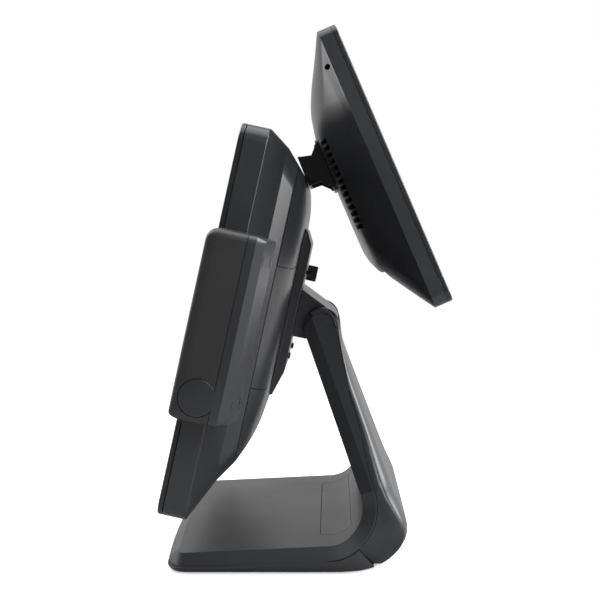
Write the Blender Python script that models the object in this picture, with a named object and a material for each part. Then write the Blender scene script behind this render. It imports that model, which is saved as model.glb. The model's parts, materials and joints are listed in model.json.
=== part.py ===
"""Countertop point-of-sale terminal: tilting touchscreen head, swipe reader, rear customer display, L-shaped stand.

Every number is in millimetres until mesh_object() turns it into metres.  The design frame has X across the
terminal (X = 0 is the stand's middle plane), -Y towards the operator and +Z up from the counter.
"""
import bpy
import bmesh
from math import atan2, cos, exp, pi, radians, sin, sqrt
from mathutils import Vector

MM = 0.001

# ---- whole terminal -------------------------------------------------------------------------------------
FRAME_X, FRAME_Y = -19.0, 23.1          # from the stand's middle plane to the middle of the bounding box
GAP = 0.35                              # clearance between neighbouring pieces
WALL = 2.2                              # moulded wall
COVER_WALL = 1.6                        # wall of the column's rear cover

# ---- stand ----------------------------------------------------------------------------------------------
BASE_HALF, BASE_FRONT, BASE_CORNER, BASE_BOW = 124.5, -134.0, 20.0, 4.0
BASE_TOP_POINT, BASE_TOP_SLOPE = (-60.0, 18.3), 0.047
EDGE_INSET, EDGE_DROP = 5.0, 10.4       # sloping side band of the base and the column
FOOT_HEIGHT = 1.2                       # rubber feet hold the tray this far off the counter
COLUMN_POINT, COLUMN_LEAN = (16.2, 77.3), radians(20.4)
COLUMN_DEPTH, COLUMN_RISE = 31.6, 115.3
COLUMN_HALF_FOOT, COLUMN_HALF_TOP = 106.0, 48.5
FILLET = 28.0                           # concave sweep from the base top into the column front
SPLIT_ANGLE = radians(-51.0)            # where the bottom tray meets the rear cover
SLOT_HALF = 45.0                        # notch in the column top that the hinge hood swings in
CHEEK_RADIUS = 11.0                     # rounded top of the strip each side of that notch
SWEEP_STEPS, COLUMN_STEPS = 7, 8

# ---- screen head: local x, depth behind the front plane, height along the screen ------------------------
HEAD_LEAN = radians(12.3)
HEAD_FRONT_BOTTOM = (-131.3, 61.0)
HEAD_HALF, HEAD_HEIGHT, HEAD_CORNER = 182.0, 301.0, 14.0
BEZEL_DEPTH, SIDE_DEPTH = 3.8, 22.0
SCREEN_HALF, SCREEN_LOW, SCREEN_HIGH = 152.5, 40.0, 268.5
COVER_SEAM_LOW, COVER_SEAM_HIGH = 103.5, 200.0
BOSS_HALF, BOSS_DEPTH = 50.0, 68.5
CABLE_OUTLET_HALF = 70.0
HINGE_RADIUS, HOOD_HALF, HOOD_RADIUS = 5.0, 44.0, 15.0
THUMB_HEIGHT = 192.9
BOSS_SCREWS = ((-38.0, 120.0), (38.0, 120.0))
POWER_X, POWER_DEPTH, POWER_RADIUS = 150.0, 13.0, 5.0

# ---- swipe reader on the right side of the head ----------------------------------------------------------
READER_IN, READER_OUT = 182.6, 220.0
READER_LOW, READER_HIGH, READER_FRONT, READER_SPLIT = 82.0, 221.0, -3.3, 29.0
READER_BACK_EDGE, READER_BACK_OUT, READER_BACK_IN = 32.7, 38.9, 44.7
READER_CHAMFER = 7.0                    # wide bevel between the reader's outer side and its slanted back
CARD_SLOT_X, CARD_SLOT_WIDTH, CARD_SLOT_DEPTH = 190.0, 1.8, 13.0
CAP_RADIUS, CAP_DEPTH_AT, CAP_HEIGHT_AT = 13.5, 14.7, 100.4

# ---- customer display: local x, thickness behind its front, height along its screen ----------------------
DISPLAY_LEAN = radians(23.2)
DISPLAY_FRONT_BOTTOM = (94.2, 219.4)
DISPLAY_HALF, DISPLAY_HEIGHT, DISPLAY_CORNER = 150.0, 234.0, 10.0
DISPLAY_AXIS = (-15.0, 326.0)
DISPLAY_PIN_RADIUS, EAR_RADIUS, ARM_HALF = 4.0, 9.0, 43.0
KNUCKLE_REACH = 22.0                    # the knuckle's ears spread this far each way where they meet the display


# ---- scene helpers ---------------------------------------------------------------------------------------
def clear_scene():
    for item in list(bpy.data.objects):
        bpy.data.objects.remove(item)


def finish(name, colour, roughness, metallic=0.0):
    made = bpy.data.materials.get(name)
    if made is None:
        made = bpy.data.materials.new(name)
        made.use_nodes = True
        shader = made.node_tree.nodes["Principled BSDF"]
        shader.inputs["Base Color"].default_value = (*colour, 1.0)
        shader.inputs["Roughness"].default_value = roughness
        shader.inputs["Metallic"].default_value = metallic
        made.diffuse_color = (*colour, 1.0)
    return made


def black_plastic():
    return finish("black_plastic", (0.022, 0.023, 0.025), 0.45)


def black_metal():
    return finish("black_metal", (0.015, 0.015, 0.016), 0.4, 0.6)


def steel():
    return finish("zinc_steel", (0.55, 0.56, 0.58), 0.35, 1.0)


def rubber():
    return finish("black_rubber", (0.02, 0.02, 0.02), 0.8)


def dark_glass():
    return finish("dark_glass", (0.01, 0.01, 0.012), 0.06)


def circuit_green():
    return finish("circuit_board", (0.02, 0.12, 0.06), 0.5)


def aluminium():
    return finish("aluminium", (0.62, 0.63, 0.65), 0.35, 1.0)


def empty(name, place, parent=None, lean=0.0):
    made = bpy.data.objects.new(name, None)
    bpy.context.scene.collection.objects.link(made)
    made.parent = parent
    made.location = Vector(place) * MM
    made.rotation_euler = (lean, 0.0, 0.0)
    return made


def mesh_object(name, points, faces, look, parent, closed=True):
    mesh = bpy.data.meshes.new(name)
    mesh.from_pydata([tuple(c * MM for c in p) for p in points], [], faces)
    work = bmesh.new()
    work.from_mesh(mesh)
    bmesh.ops.remove_doubles(work, verts=work.verts, dist=0.000001)
    if closed:
        bmesh.ops.recalc_face_normals(work, faces=work.faces)
    work.to_mesh(mesh)
    work.free()
    mesh.shade_smooth()
    mesh.set_sharp_from_angle(angle=radians(30))
    mesh.materials.append(look)
    made = bpy.data.objects.new(name, mesh)
    bpy.context.scene.collection.objects.link(made)
    made.parent = parent
    return made


def boolean(target, tool, kind="DIFFERENCE"):
    """Use tool as a hidden cutter on target; it stays in the file and is not a piece of the terminal."""
    tool.hide_render = True
    tool.display_type = "WIRE"
    step = target.modifiers.new(f"{kind.lower()}_{tool.name}", "BOOLEAN")
    step.operation = kind
    step.object = tool
    step.solver = "EXACT"
    return target


# ---- solid builders --------------------------------------------------------------------------------------
def bridge(faces, first, second, count):
    for i in range(count):
        j = (i + 1) % count
        faces.append((first + i, first + j, second + j, second + i))


def loft(name, rings, look, parent):
    """Closed solid through equal rings of points, flat at both ends."""
    count = len(rings[0])
    points = [p for ring in rings for p in ring]
    faces = []
    for k in range(len(rings) - 1):
        bridge(faces, k * count, (k + 1) * count, count)
    faces.append(tuple(range(count)))
    faces.append(tuple((len(rings) - 1) * count + i for i in range(count)))
    return mesh_object(name, points, faces, look, parent)


def cup(name, outer, inner, look, parent):
    """Moulded shell open at its first rings, closed at its last ones."""
    count = len(outer[0])
    points = [p for ring in outer + inner for p in ring]
    faces = []
    for k in range(len(outer) - 1):
        bridge(faces, k * count, (k + 1) * count, count)
    start = len(outer) * count
    for k in range(len(inner) - 1):
        bridge(faces, start + k * count, start + (k + 1) * count, count)
    bridge(faces, 0, start, count)
    faces.append(tuple(start - count + i for i in range(count)))
    faces.append(tuple(start + (len(inner) - 1) * count + i for i in range(count)))
    return mesh_object(name, points, faces, look, parent)


def sleeve(name, outer, inner, look, parent):
    """Moulded shell open at both ends: outer and inner rings both run from the first rim to the last."""
    rings = outer + inner[::-1]
    count = len(outer[0])
    points = [p for ring in rings for p in ring]
    faces = []
    for k in range(len(rings)):
        bridge(faces, k * count, ((k + 1) % len(rings)) * count, count)
    return mesh_object(name, points, faces, look, parent)


def rounded_outline(x0, x1, z0, z1, radius, steps=4):
    points = []
    for cx, cz, start in ((x1 - radius, z0 + radius, -90), (x1 - radius, z1 - radius, 0),
                          (x0 + radius, z1 - radius, 90), (x0 + radius, z0 + radius, 180)):
        for k in range(steps + 1):
            angle = radians(start + 90 * k / steps)
            points.append((cx + radius * cos(angle), cz + radius * sin(angle)))
    return points


def upright_ring(depth, x0, x1, z0, z1, radius, steps=4):
    return [(x, depth, z) for x, z in rounded_outline(x0, x1, z0, z1, radius, steps)]


def panel(name, x0, x1, y0, y1, z0, z1, look, parent, radius=0.8, steps=1):
    """Flat piece that faces front and back, with rounded corners."""
    rings = [upright_ring(y, x0, x1, z0, z1, radius, steps) for y in (y0, y1)]
    return loft(name, rings, look, parent)


def block(name, x0, x1, y0, y1, z0, z1, look, parent):
    corners = [(x0, y0), (x1, y0), (x1, y1), (x0, y1)]
    return loft(name, [[(x, y, z) for x, y in corners] for z in (z0, z1)], look, parent)


def prism(name, outline, x0, x1, look, parent):
    """Side-view outline of (y, z) points, extruded across X."""
    return loft(name, [[(x, y, z) for y, z in outline] for x in (x0, x1)], look, parent)


def circle(radius, sides):
    return [(radius * cos(2 * pi * k / sides), radius * sin(2 * pi * k / sides)) for k in range(sides)]


def turned_x(name, centre, stations, look, parent, sides=24):
    """Round solid about an axis along X; stations are (x, radius)."""
    rings = [[(x, centre[0] + a, centre[1] + b) for a, b in circle(r, sides)] for x, r in stations]
    return loft(name, rings, look, parent)


def turned_y(name, centre, stations, look, parent, sides=16):
    rings = [[(centre[0] + a, y, centre[1] + b) for a, b in circle(r, sides)] for y, r in stations]
    return loft(name, rings, look, parent)


def turned_z(name, centre, stations, look, parent, sides=16):
    rings = [[(centre[0] + a, centre[1] + b, z) for a, b in circle(r, sides)] for z, r in stations]
    return loft(name, rings, look, parent)


def drill_x(target, centre, x0, x1, radius, sides=24):
    tool = turned_x(f"cutter_{target.name}_{len(target.modifiers)}", centre, [(x0, radius), (x1, radius)],
                    steel(), target.parent, sides)
    return boolean(target, tool)


def drill_y(target, centre, y0, y1, radius, sides=16):
    tool = turned_y(f"cutter_{target.name}_{len(target.modifiers)}", centre, [(y0, radius), (y1, radius)],
                    steel(), target.parent, sides)
    return boolean(target, tool)


def drill_z(target, centre, z0, z1, radius, sides=16):
    tool = turned_z(f"cutter_{target.name}_{len(target.modifiers)}", centre, [(z0, radius), (z1, radius)],
                    steel(), target.parent, sides)
    return boolean(target, tool)


def cut_block(target, *box):
    return boolean(target, block(f"cutter_{target.name}_{len(target.modifiers)}", *box, steel(), target.parent))


def arc(centre, radius, start, end, steps):
    """Points (y, z) on a circle between two angles in degrees."""
    angles = [radians(start + (end - start) * k / steps) for k in range(steps + 1)]
    return [(centre[0] + radius * cos(a), centre[1] + radius * sin(a)) for a in angles]


def smooth(value):
    value = min(1.0, max(0.0, value))
    return value * value * (3.0 - 2.0 * value)


# ---- the stand's ribbon: base top, concave sweep, column front --------------------------------------------
BASE_DOWN = Vector((BASE_TOP_SLOPE, -1.0)).normalized()
COLUMN_UP = Vector((-sin(COLUMN_LEAN), cos(COLUMN_LEAN)))
COLUMN_BACK = Vector((cos(COLUMN_LEAN), sin(COLUMN_LEAN)))
COLUMN_AT = Vector(COLUMN_POINT)
HINGE = COLUMN_AT + COLUMN_UP * COLUMN_RISE + COLUMN_BACK * (COLUMN_DEPTH / 2)


def meet(p, n, q, m):
    """Point where the line through p with normal n crosses the line through q with normal m."""
    a, b = n.dot(p), m.dot(q)
    det = n.x * m.y - n.y * m.x
    return Vector(((a * m.y - b * n.y) / det, (n.x * b - m.x * a) / det))


SWEEP = meet(Vector(BASE_TOP_POINT) - BASE_DOWN * FILLET, BASE_DOWN, COLUMN_AT - COLUMN_BACK * FILLET, COLUMN_BACK)
SWEEP_START = atan2(BASE_DOWN.y, BASE_DOWN.x)
SWEEP_END = COLUMN_LEAN
COLUMN_START = (SWEEP + COLUMN_BACK * FILLET - COLUMN_AT).dot(COLUMN_UP)


def base_top(y):
    return BASE_TOP_POINT[1] + (y - BASE_TOP_POINT[0]) * BASE_TOP_SLOPE


def station(place, kind):
    """Surface point, inward direction, half width of the flat, side-band offset and seam depth."""
    if kind == "base":
        return Vector((place, base_top(place))), BASE_DOWN, BASE_HALF - EDGE_INSET, EDGE_INSET, EDGE_DROP + 0.5
    if kind == "sweep":
        turn = (place - SWEEP_START) / (SWEEP_END - SWEEP_START)
        inward = Vector((cos(place), sin(place)))
        flat = BASE_HALF - EDGE_INSET
        half = flat + (COLUMN_HALF_FOOT - flat) * smooth(turn)
        return SWEEP + inward * FILLET, inward, half, EDGE_INSET, EDGE_DROP + 0.5 + 1.2 * turn
    rise = (place - COLUMN_START) / (COLUMN_RISE - COLUMN_START)
    half = COLUMN_HALF_FOOT + (COLUMN_HALF_TOP - COLUMN_HALF_FOOT) * rise
    seam = 12.1 + 9.9 * smooth(rise / 0.3) + 4.8 * smooth((rise - 0.85) / 0.15)
    return COLUMN_AT + COLUMN_UP * place, COLUMN_BACK, half, EDGE_INSET - rise, seam


def spread(start, end, steps):
    return [start + (end - start) * k / steps for k in range(steps)]


def sweep_stops():
    return [(a, "sweep") for a in spread(SPLIT_ANGLE, SWEEP_END, SWEEP_STEPS)]


def column_stops():
    return [(a, "column") for a in spread(COLUMN_START, COLUMN_RISE, COLUMN_STEPS)]


def ribbon_stations():
    tangent = (SWEEP + BASE_DOWN * FILLET).x
    stops = [(y, "base") for y in spread(BASE_FRONT + BASE_CORNER - 2.0, tangent, 3)]
    stops += [(a, "sweep") for a in spread(SWEEP_START, SPLIT_ANGLE, 3)]
    return stops + sweep_stops() + column_stops() + [(COLUMN_RISE, "column")]


def section(place, kind, cross):
    """Points across the ribbon for (x, depth) pairs."""
    at, inward = station(place, kind)[:2]
    return [(x, at.x + inward.x * depth, at.y + inward.y * depth) for x, depth in cross]


def thicken(target, amount):
    step = target.modifiers.new("wall", "SOLIDIFY")
    step.thickness = amount * MM
    step.offset = -1.0
    step.use_even_offset = True
    return target


def grid_faces(rows, columns):
    return [(r * columns + c, r * columns + c + 1, (r + 1) * columns + c + 1, (r + 1) * columns + c)
            for r in range(rows - 1) for c in range(columns - 1)]


def face_up(target, direction):
    """Turn an open skin so that its faces point towards direction on the whole."""
    total = Vector((0.0, 0.0, 0.0))
    for polygon in target.data.polygons:
        total += polygon.normal * polygon.area
    if total.dot(Vector(direction)) < 0.0:
        target.data.flip_normals()
    return target


def even_winding(target):
    work = bmesh.new()
    work.from_mesh(target.data)
    bmesh.ops.recalc_face_normals(work, faces=work.faces)
    work.to_mesh(target.data)
    work.free()
    return target


def front_apron(points, faces):
    """Rounded front corners and bowed front edge of the base, joined to the ribbon's first row."""
    steps = 6
    centre_x = BASE_HALF - BASE_CORNER
    centre_y = ribbon_stations()[0][0]
    levels = ((0.0, EDGE_DROP + 0.5), (0.0, EDGE_DROP), (EDGE_INSET, 0.0))
    rows = []
    for inset, drop in levels:
        row = []
        for side, start in ((-1, 180), (1, 270)):
            if side == 1:
                for k in range(1, 6):
                    x = -centre_x + 2 * centre_x * k / 6
                    row.append((x, centre_y - (BASE_CORNER - inset) - BASE_BOW * (1 - (x / centre_x) ** 2), drop))
            for k in range(steps + 1):
                angle = radians(start + 90 * k / steps)
                reach = BASE_CORNER - inset
                row.append((side * centre_x + reach * cos(angle), centre_y + reach * sin(angle), drop))
        rows.append(row)
    index = []
    for row in rows:
        start = len(points)
        points += [(x, y, base_top(y) - drop) for x, y, drop in row]
        index.append(start)
    count = len(rows[0])
    for k in range(2):
        for i in range(count - 1):
            faces.append((index[k] + i, index[k] + i + 1, index[k + 1] + i + 1, index[k + 1] + i))
    faces.append(tuple(index[2] + i for i in range(count)))


def stand_front_shell(parent):
    points = []
    stops = ribbon_stations()
    for place, kind in stops:
        half, band, seam = station(place, kind)[2:]
        cross = [(-half - band, seam), (-half - band, EDGE_DROP), (-half, 0.0),
                 (half, 0.0), (half + band, EDGE_DROP), (half + band, seam)]
        if kind == "base" and place == stops[0][0]:
            points += [(x, place, base_top(place) - depth) for x, depth in cross]
        else:
            points += section(place, kind, cross)
    faces = grid_faces(len(stops), 6)
    front_apron(points, faces)
    shell = mesh_object("stand_front_shell", points, faces, black_plastic(), parent, closed=False)
    face_up(even_winding(shell), (0.0, -0.3, 1.0))
    thicken(shell, WALL)
    for side in (-1, 1):
        inner, outer = sorted((side * (COLUMN_HALF_TOP + 1.9), side * (COLUMN_HALF_TOP + 3.9)))
        cheek = turned_x(f"cutter_cheek_{side + 1}", HINGE, [(inner, CHEEK_RADIUS), (outer, CHEEK_RADIUS)],
                         steel(), parent)
        boolean(shell, cheek, "UNION")
    slot_floor = HINGE - COLUMN_UP * 29.0
    low = slot_floor - COLUMN_BACK * 30.0
    outline = [low, slot_floor - COLUMN_BACK * 4.0, slot_floor - COLUMN_BACK * 4.0 + COLUMN_UP * 60.0,
               low + COLUMN_UP * 60.0]
    boolean(shell, prism("cutter_front_slot", outline, -SLOT_HALF, SLOT_HALF, steel(), parent))
    boolean(shell, cable_opening(parent))
    return shell


# ---- cable cover: a flush panel in the base top, running into the sweep -----------------------------------
CABLE_HALF, CABLE_FRONT, CABLE_END = 89.0, -10.0, radians(-46.0)


def cable_opening(parent):
    end = SWEEP + Vector((cos(CABLE_END), sin(CABLE_END))) * FILLET
    reach = Vector((cos(CABLE_END), sin(CABLE_END))) * 6.0
    outline = [(CABLE_FRONT, 5.0), (end.x + reach.x, 5.0), (end + reach)[:], (end - reach * 1.5)[:],
               (CABLE_FRONT, 40.0)]
    return prism("cutter_cable_opening", outline, -CABLE_HALF, CABLE_HALF, steel(), parent)


def cable_cover(parent):
    half = CABLE_HALF - GAP
    stops = [(CABLE_FRONT + GAP, "base"), ((SWEEP + BASE_DOWN * FILLET).x - 1.0, "base")]
    last = CABLE_END - GAP / FILLET
    stops += [(SWEEP_START + (last - SWEEP_START) * k / 4, "sweep") for k in range(5)]
    outer = [section(place, kind, [(-half, 0.0), (half, 0.0)]) for place, kind in stops]
    inner = [section(place, kind, [(half, WALL), (-half, WALL)]) for place, kind in stops]
    rings = [a + b for a, b in zip(outer, inner)]
    return loft("cable_cover", rings, black_plastic(), parent)


# ---- rear cover of the column and its swollen foot --------------------------------------------------------
ROUND_END = radians(174.0)              # the cover wraps over the column top and stops short of its front


def rear_reach(angle):
    """Distance from the sweep's centre to the outside of the rear cover."""
    spread = radians(20.0) if angle > radians(-22.0) else radians(35.0)
    reach = FILLET + COLUMN_DEPTH + 10.2 * exp(-((angle + radians(22.0)) / spread) ** 2)
    if angle < 0.0:
        reach = min(reach, (SWEEP.y - FOOT_HEIGHT) / sin(-angle))
    return reach


def rear_rows(round_steps=8):
    rows = []
    for angle, kind in sweep_stops():
        at, inward, half, band, seam = station(angle, kind)
        drop = 3.0 + 6.6 * smooth((angle + radians(22.0)) / radians(22.0))
        tuck = 12.0 * smooth((radians(-10.0) - angle) / radians(41.0))
        rows.append((at, inward, half + band, tuck, seam + 2 * GAP, rear_reach(angle) - FILLET, drop, 26.0))
    for rise, kind in column_stops():
        at, inward, half, band, seam = station(rise, kind)
        drop = min(9.6, COLUMN_DEPTH - seam - GAP - 0.6)
        rows.append((at, inward, half + band, 0.0, seam + GAP, COLUMN_DEPTH, drop, 26.0))
    for k in range(round_steps + 1):
        turn = ROUND_END * k / round_steps
        outward = COLUMN_BACK * cos(turn) + COLUMN_UP * sin(turn)
        drop = 4.0 - 2.4 * smooth(turn)
        rows.append((HINGE, outward, COLUMN_HALF_TOP + 4.0, 0.0, CHEEK_RADIUS + GAP, COLUMN_DEPTH / 2, drop, 7.0))
    return rows


def column_rear_cover(parent):
    points, steps = [], 4
    rows = rear_rows()
    for at, inward, half, tuck, seam, reach, drop, soften in rows:
        side = [(half, seam), (half - tuck * 0.35, seam + (reach - drop - seam) * 0.5)]
        for k in range(steps + 1):
            turn = pi / 2 * k / steps
            side.append((half - tuck - soften * (1 - cos(turn)), reach - drop + drop * sin(turn)))
        cross = [(-x, depth) for x, depth in side] + side[::-1]
        points += [(x, at.x + inward.x * depth, at.y + inward.y * depth) for x, depth in cross]
    shell = mesh_object("column_rear_cover", points, grid_faces(len(rows), 2 * (steps + 3)), black_plastic(),
                        parent, closed=False)
    face_up(even_winding(shell), (0.0, 1.0, 0.0))
    thicken(shell, COVER_WALL)
    low = HINGE - COLUMN_UP * 22.0
    outline = [low - COLUMN_BACK * 30.0, low + COLUMN_BACK * 30.0, low + COLUMN_BACK * 30.0 + COLUMN_UP * 60.0,
               low - COLUMN_BACK * 30.0 + COLUMN_UP * 60.0]
    boolean(shell, prism("cutter_rear_slot", outline, -SLOT_HALF, SLOT_HALF, steel(), parent))
    return shell


# ---- base: tray, ballast plate, feet, screws --------------------------------------------------------------
def seam_height(y):
    tangent = (SWEEP + BASE_DOWN * FILLET).x
    if y < tangent:
        return base_top(y) - EDGE_DROP - 0.5
    radius = FILLET + EDGE_DROP + 1.4
    return SWEEP.y - sqrt(radius * radius - (y - SWEEP.x) ** 2)


def base_outline(inset):
    """Plan of the tray from its left rear corner round the front to the right rear corner."""
    centre_x, centre_y = BASE_HALF - BASE_CORNER, BASE_FRONT + BASE_CORNER - 2.0
    half = BASE_HALF - inset
    rear = ((34.0, 12.0), (24.0, 4.5), (12.0, 1.0), (0.0, 0.0), (-50.0, 0.0))
    left = [(-half + tuck, y) for y, tuck in rear]
    reach = BASE_CORNER - inset
    corner_left = [(-centre_x + reach * cos(radians(a)), centre_y + reach * sin(radians(a)))
                   for a in range(180, 271, 15)]
    front = []
    for k in range(1, 6):
        x = -centre_x + 2 * centre_x * k / 6
        front.append((x, centre_y - reach - BASE_BOW * (1 - (x / centre_x) ** 2)))
    corner_right = [(-x, y) for x, y in corner_left[::-1]]
    right = [(-x, y) for x, y in left[::-1]]
    return left + corner_left + front + corner_right + right


def base_tray(parent):
    lip = [(x, y, seam_height(y) - GAP) for x, y in base_outline(0.0)]
    low = [(x, y, FOOT_HEIGHT + 1.5) for x, y in base_outline(0.0)]
    bottom = [(x, y, FOOT_HEIGHT) for x, y in base_outline(1.5)]
    inner_lip = [(x, y, seam_height(y) - GAP) for x, y in base_outline(WALL)]
    inner_low = [(x, y, FOOT_HEIGHT + WALL) for x, y in base_outline(WALL)]
    tray = cup("base_bottom_tray", [lip, low, bottom], [inner_lip, inner_low], black_plastic(), parent)
    outward = Vector((cos(SPLIT_ANGLE), sin(SPLIT_ANGLE)))
    across = Vector((-outward.y, outward.x))
    near = SWEEP + outward * 20.0 - across * GAP
    far = SWEEP + outward * 90.0 - across * GAP
    outline = [near, far, far + across * 60.0, near + across * 60.0]
    boolean(tray, prism("cutter_tray_end", outline, -140.0, 140.0, steel(), parent))
    return tray


FOOT_PLACES = [(-98.0, -108.0), (98.0, -108.0), (-92.0, 8.0), (92.0, 8.0)]
SCREW_PLACES = [(-70.0, -90.0), (70.0, -90.0), (-70.0, -5.0), (70.0, -5.0)]


def base_parts(parent):
    tray = base_tray(parent)
    plate = block("base_weight_plate", -96.0, 96.0, -112.0, 16.0, 4.0, 9.0, steel(), parent)
    for k, (x, y) in enumerate(FOOT_PLACES):
        turned_z(f"rubber_foot_{k + 1}", (x, y), [(0.0, 7.2), (0.6, 8.0), (2.4, 8.0)], rubber(), parent, 24)
        drill_z(tray, (x, y), 0.0, 2.4 + GAP, 8.0 + GAP, 24)
    for k, (x, y) in enumerate(SCREW_PLACES):
        turned_z(f"base_screw_{k + 1}", (x, y), [(1.5, 3.5), (3.6, 3.5), (3.6, 2.0), (11.5, 2.0)],
                 black_metal(), parent, 12)
        drill_z(tray, (x, y), 0.0, 4.0, 3.9, 12)
        drill_z(plate, (x, y), 3.0, 10.0, 2.4, 12)


# ---- steel inside the column ------------------------------------------------------------------------------
def column_steel(parent):
    middle = COLUMN_AT + COLUMN_BACK * (COLUMN_DEPTH / 2)
    half_sheet = 1.5
    top = COLUMN_UP * (COLUMN_RISE - 31.0)
    foot_low, foot_high, foot_front = 9.3, 12.3, -30.0
    bend_at, bend_height = 42.0, 27.0

    def web(offset, height):
        start = middle + COLUMN_BACK * offset
        return start + COLUMN_UP * ((height - start.y) / COLUMN_UP.y)

    outline = [(foot_front, foot_low), (bend_at, foot_low), web(half_sheet, bend_height),
               middle + top + COLUMN_BACK * half_sheet, middle + top - COLUMN_BACK * half_sheet,
               web(-half_sheet, bend_height + 1.5), (bend_at - 1.0, foot_high), (foot_front, foot_high)]
    spine = prism("column_spine", [tuple(p) for p in outline], -40.0, 40.0, steel(), parent)
    for x, y in SCREW_PLACES[2:]:
        drill_z(spine, (x, y), 8.0, 13.0, 2.4, 12)
    for side, word in ((-1, "left"), (1, "right")):
        root = HINGE - COLUMN_UP * 62.0
        outline = [tuple(root - COLUMN_BACK * 7.0), tuple(root + COLUMN_BACK * 7.0)]
        lean = 90.0 + COLUMN_LEAN * 180 / pi
        outline += arc(HINGE, 8.4, lean - 90.0, lean + 90.0, 8)
        ear = prism(f"hinge_ear_{word}", outline, *sorted((side * 46.3, side * 49.3)), steel(), parent)
        foot_low_at, foot_high_at = HINGE - COLUMN_UP * 60.0, HINGE - COLUMN_UP * 38.0
        tab = [foot_low_at + COLUMN_BACK * 1.9, foot_low_at + COLUMN_BACK * 4.4,
               foot_high_at + COLUMN_BACK * 4.4, foot_high_at + COLUMN_BACK * 1.9]
        flange = prism(f"cutter_ear_flange_{word}", [tuple(p) for p in tab], *sorted((side * 28.0, side * 48.0)),
                       steel(), parent)
        boolean(ear, flange, "UNION")
        drill_x(ear, HINGE, -60.0, 60.0, HINGE_RADIUS + 0.1, 32)
        washer = turned_x(f"friction_washer_{word}", HINGE, sorted([(side * 44.4, 9.0), (side * 45.9, 9.0)]),
                          steel(), parent, 32)
        drill_x(washer, HINGE, -60.0, 60.0, HINGE_RADIUS + 0.1, 32)


# ---- screen head ------------------------------------------------------------------------------------------
def head_ring(depth, inset=0.0, corner=HEAD_CORNER):
    return upright_ring(depth, -HEAD_HALF + inset, HEAD_HALF - inset, inset, HEAD_HEIGHT - inset,
                        max(1.0, corner - inset))


def back_ring(depth, half, low, high, radius, inset=0.0):
    return upright_ring(depth, -half + inset, half - inset, low + inset, high - inset, max(2.0, radius - inset))


# depth, half width, low edge, high edge, corner radius of the swollen back, from its rim to its flat
DOME = ((47.0 + GAP, 144.5, 40.0, 279.5, 24.0),
        (54.0, 130.0, 53.5, 268.0, 28.0),
        (58.5, 112.0, 68.0, 250.0, 30.0),
        (60.0, 90.0, 82.0, 236.0, 24.0))
SHOULDER = ((BEZEL_DEPTH + GAP, HEAD_HALF, 0.0, HEAD_HEIGHT, HEAD_CORNER),
            (SIDE_DEPTH, HEAD_HALF, 0.0, HEAD_HEIGHT, HEAD_CORNER),
            (36.0, 150.0, 23.5, 292.0, 22.0),
            (47.0, 145.0, 39.5, 280.0, 24.0))
SHOULDER_LIFT = (0.0, -0.8, -2.0, 0.0)   # the inner skin of each shoulder ring sits this much deeper
SHOULDER_WALL = (WALL, WALL, WALL + 0.4, WALL + 0.4)


def front_bezel(parent):
    outer = [head_ring(BEZEL_DEPTH), head_ring(1.2), head_ring(0.0, 1.2)]
    inner = [head_ring(BEZEL_DEPTH, WALL), head_ring(2.0, WALL)]
    bezel = cup("front_bezel", outer, inner, black_plastic(), parent)
    window = panel("cutter_bezel_window", -SCREEN_HALF, SCREEN_HALF, -3.0, 6.0, SCREEN_LOW, SCREEN_HIGH, steel(),
                   parent, 1.5)
    return boolean(bezel, window)


def rear_housing(parent):
    outer = [back_ring(*row) for row in SHOULDER]
    inner = [back_ring(depth + lift, half, low, high, radius, wall)
             for (depth, half, low, high, radius), lift, wall in zip(SHOULDER, SHOULDER_LIFT, SHOULDER_WALL)]
    shell = sleeve("rear_housing", outer, inner, black_plastic(), parent)
    drill_z(shell, (POWER_X, POWER_DEPTH), -4.0, 8.0, POWER_RADIUS + GAP, 20)
    return shell


def rear_cover(name, low, high, parent):
    outer = [back_ring(*row) for row in DOME]
    inner = [back_ring(depth - (0.0 if k == 0 else 1.9), half, a, b, radius, WALL)
             for k, (depth, half, a, b, radius) in enumerate(DOME)]
    cover = cup(name, outer, inner, black_plastic(), parent)
    keep = block(f"cutter_keep_{name}", -200.0, 200.0, 30.0, 80.0, low, high, steel(), parent)
    return boolean(cover, keep, "INTERSECT")


def hinge_boss_cover(parent):
    """Raised block in the middle of the back: bevelled top and bottom, open towards the head."""
    def ring(depth, low, high, inset=0.0):
        return upright_ring(depth, -BOSS_HALF + inset, BOSS_HALF - inset, low + inset, high - inset, 4.0 - inset, 2)

    outer = [ring(60.0 + GAP, 84.0, 232.0), ring(62.6, 85.0, 230.0), ring(BOSS_DEPTH - 0.8, 103.0, 220.5),
             ring(BOSS_DEPTH, 104.0, 219.0, 0.8)]
    inner = [ring(60.0 + GAP, 84.0, 232.0, 2.0), ring(62.0, 86.0, 229.0, 2.0),
             ring(BOSS_DEPTH - 2.2, 103.0, 220.0, 2.0)]
    boss = cup("hinge_boss_cover", outer, inner, black_plastic(), parent)
    cut_block(boss, -30.0, 30.0, 60.0, 75.0, 139.0, 171.0)
    drill_y(boss, (0.0, THUMB_HEIGHT), 60.0, 75.0, 2.6, 12)
    for x, z in BOSS_SCREWS:
        drill_y(boss, (x, z), 60.0, 75.0, 2.1, 12)
    return boss


def parent_local(point, origin, lean):
    """Side-view point (y, z) in a frame at origin that is turned about X by lean."""
    dy, dz = point[0] - origin[0], point[1] - origin[1]
    return (dy * cos(lean) + dz * sin(lean), -dy * sin(lean) + dz * cos(lean))


AXIS_LOCAL = parent_local(HINGE, HEAD_FRONT_BOTTOM, -HEAD_LEAN)


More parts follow.
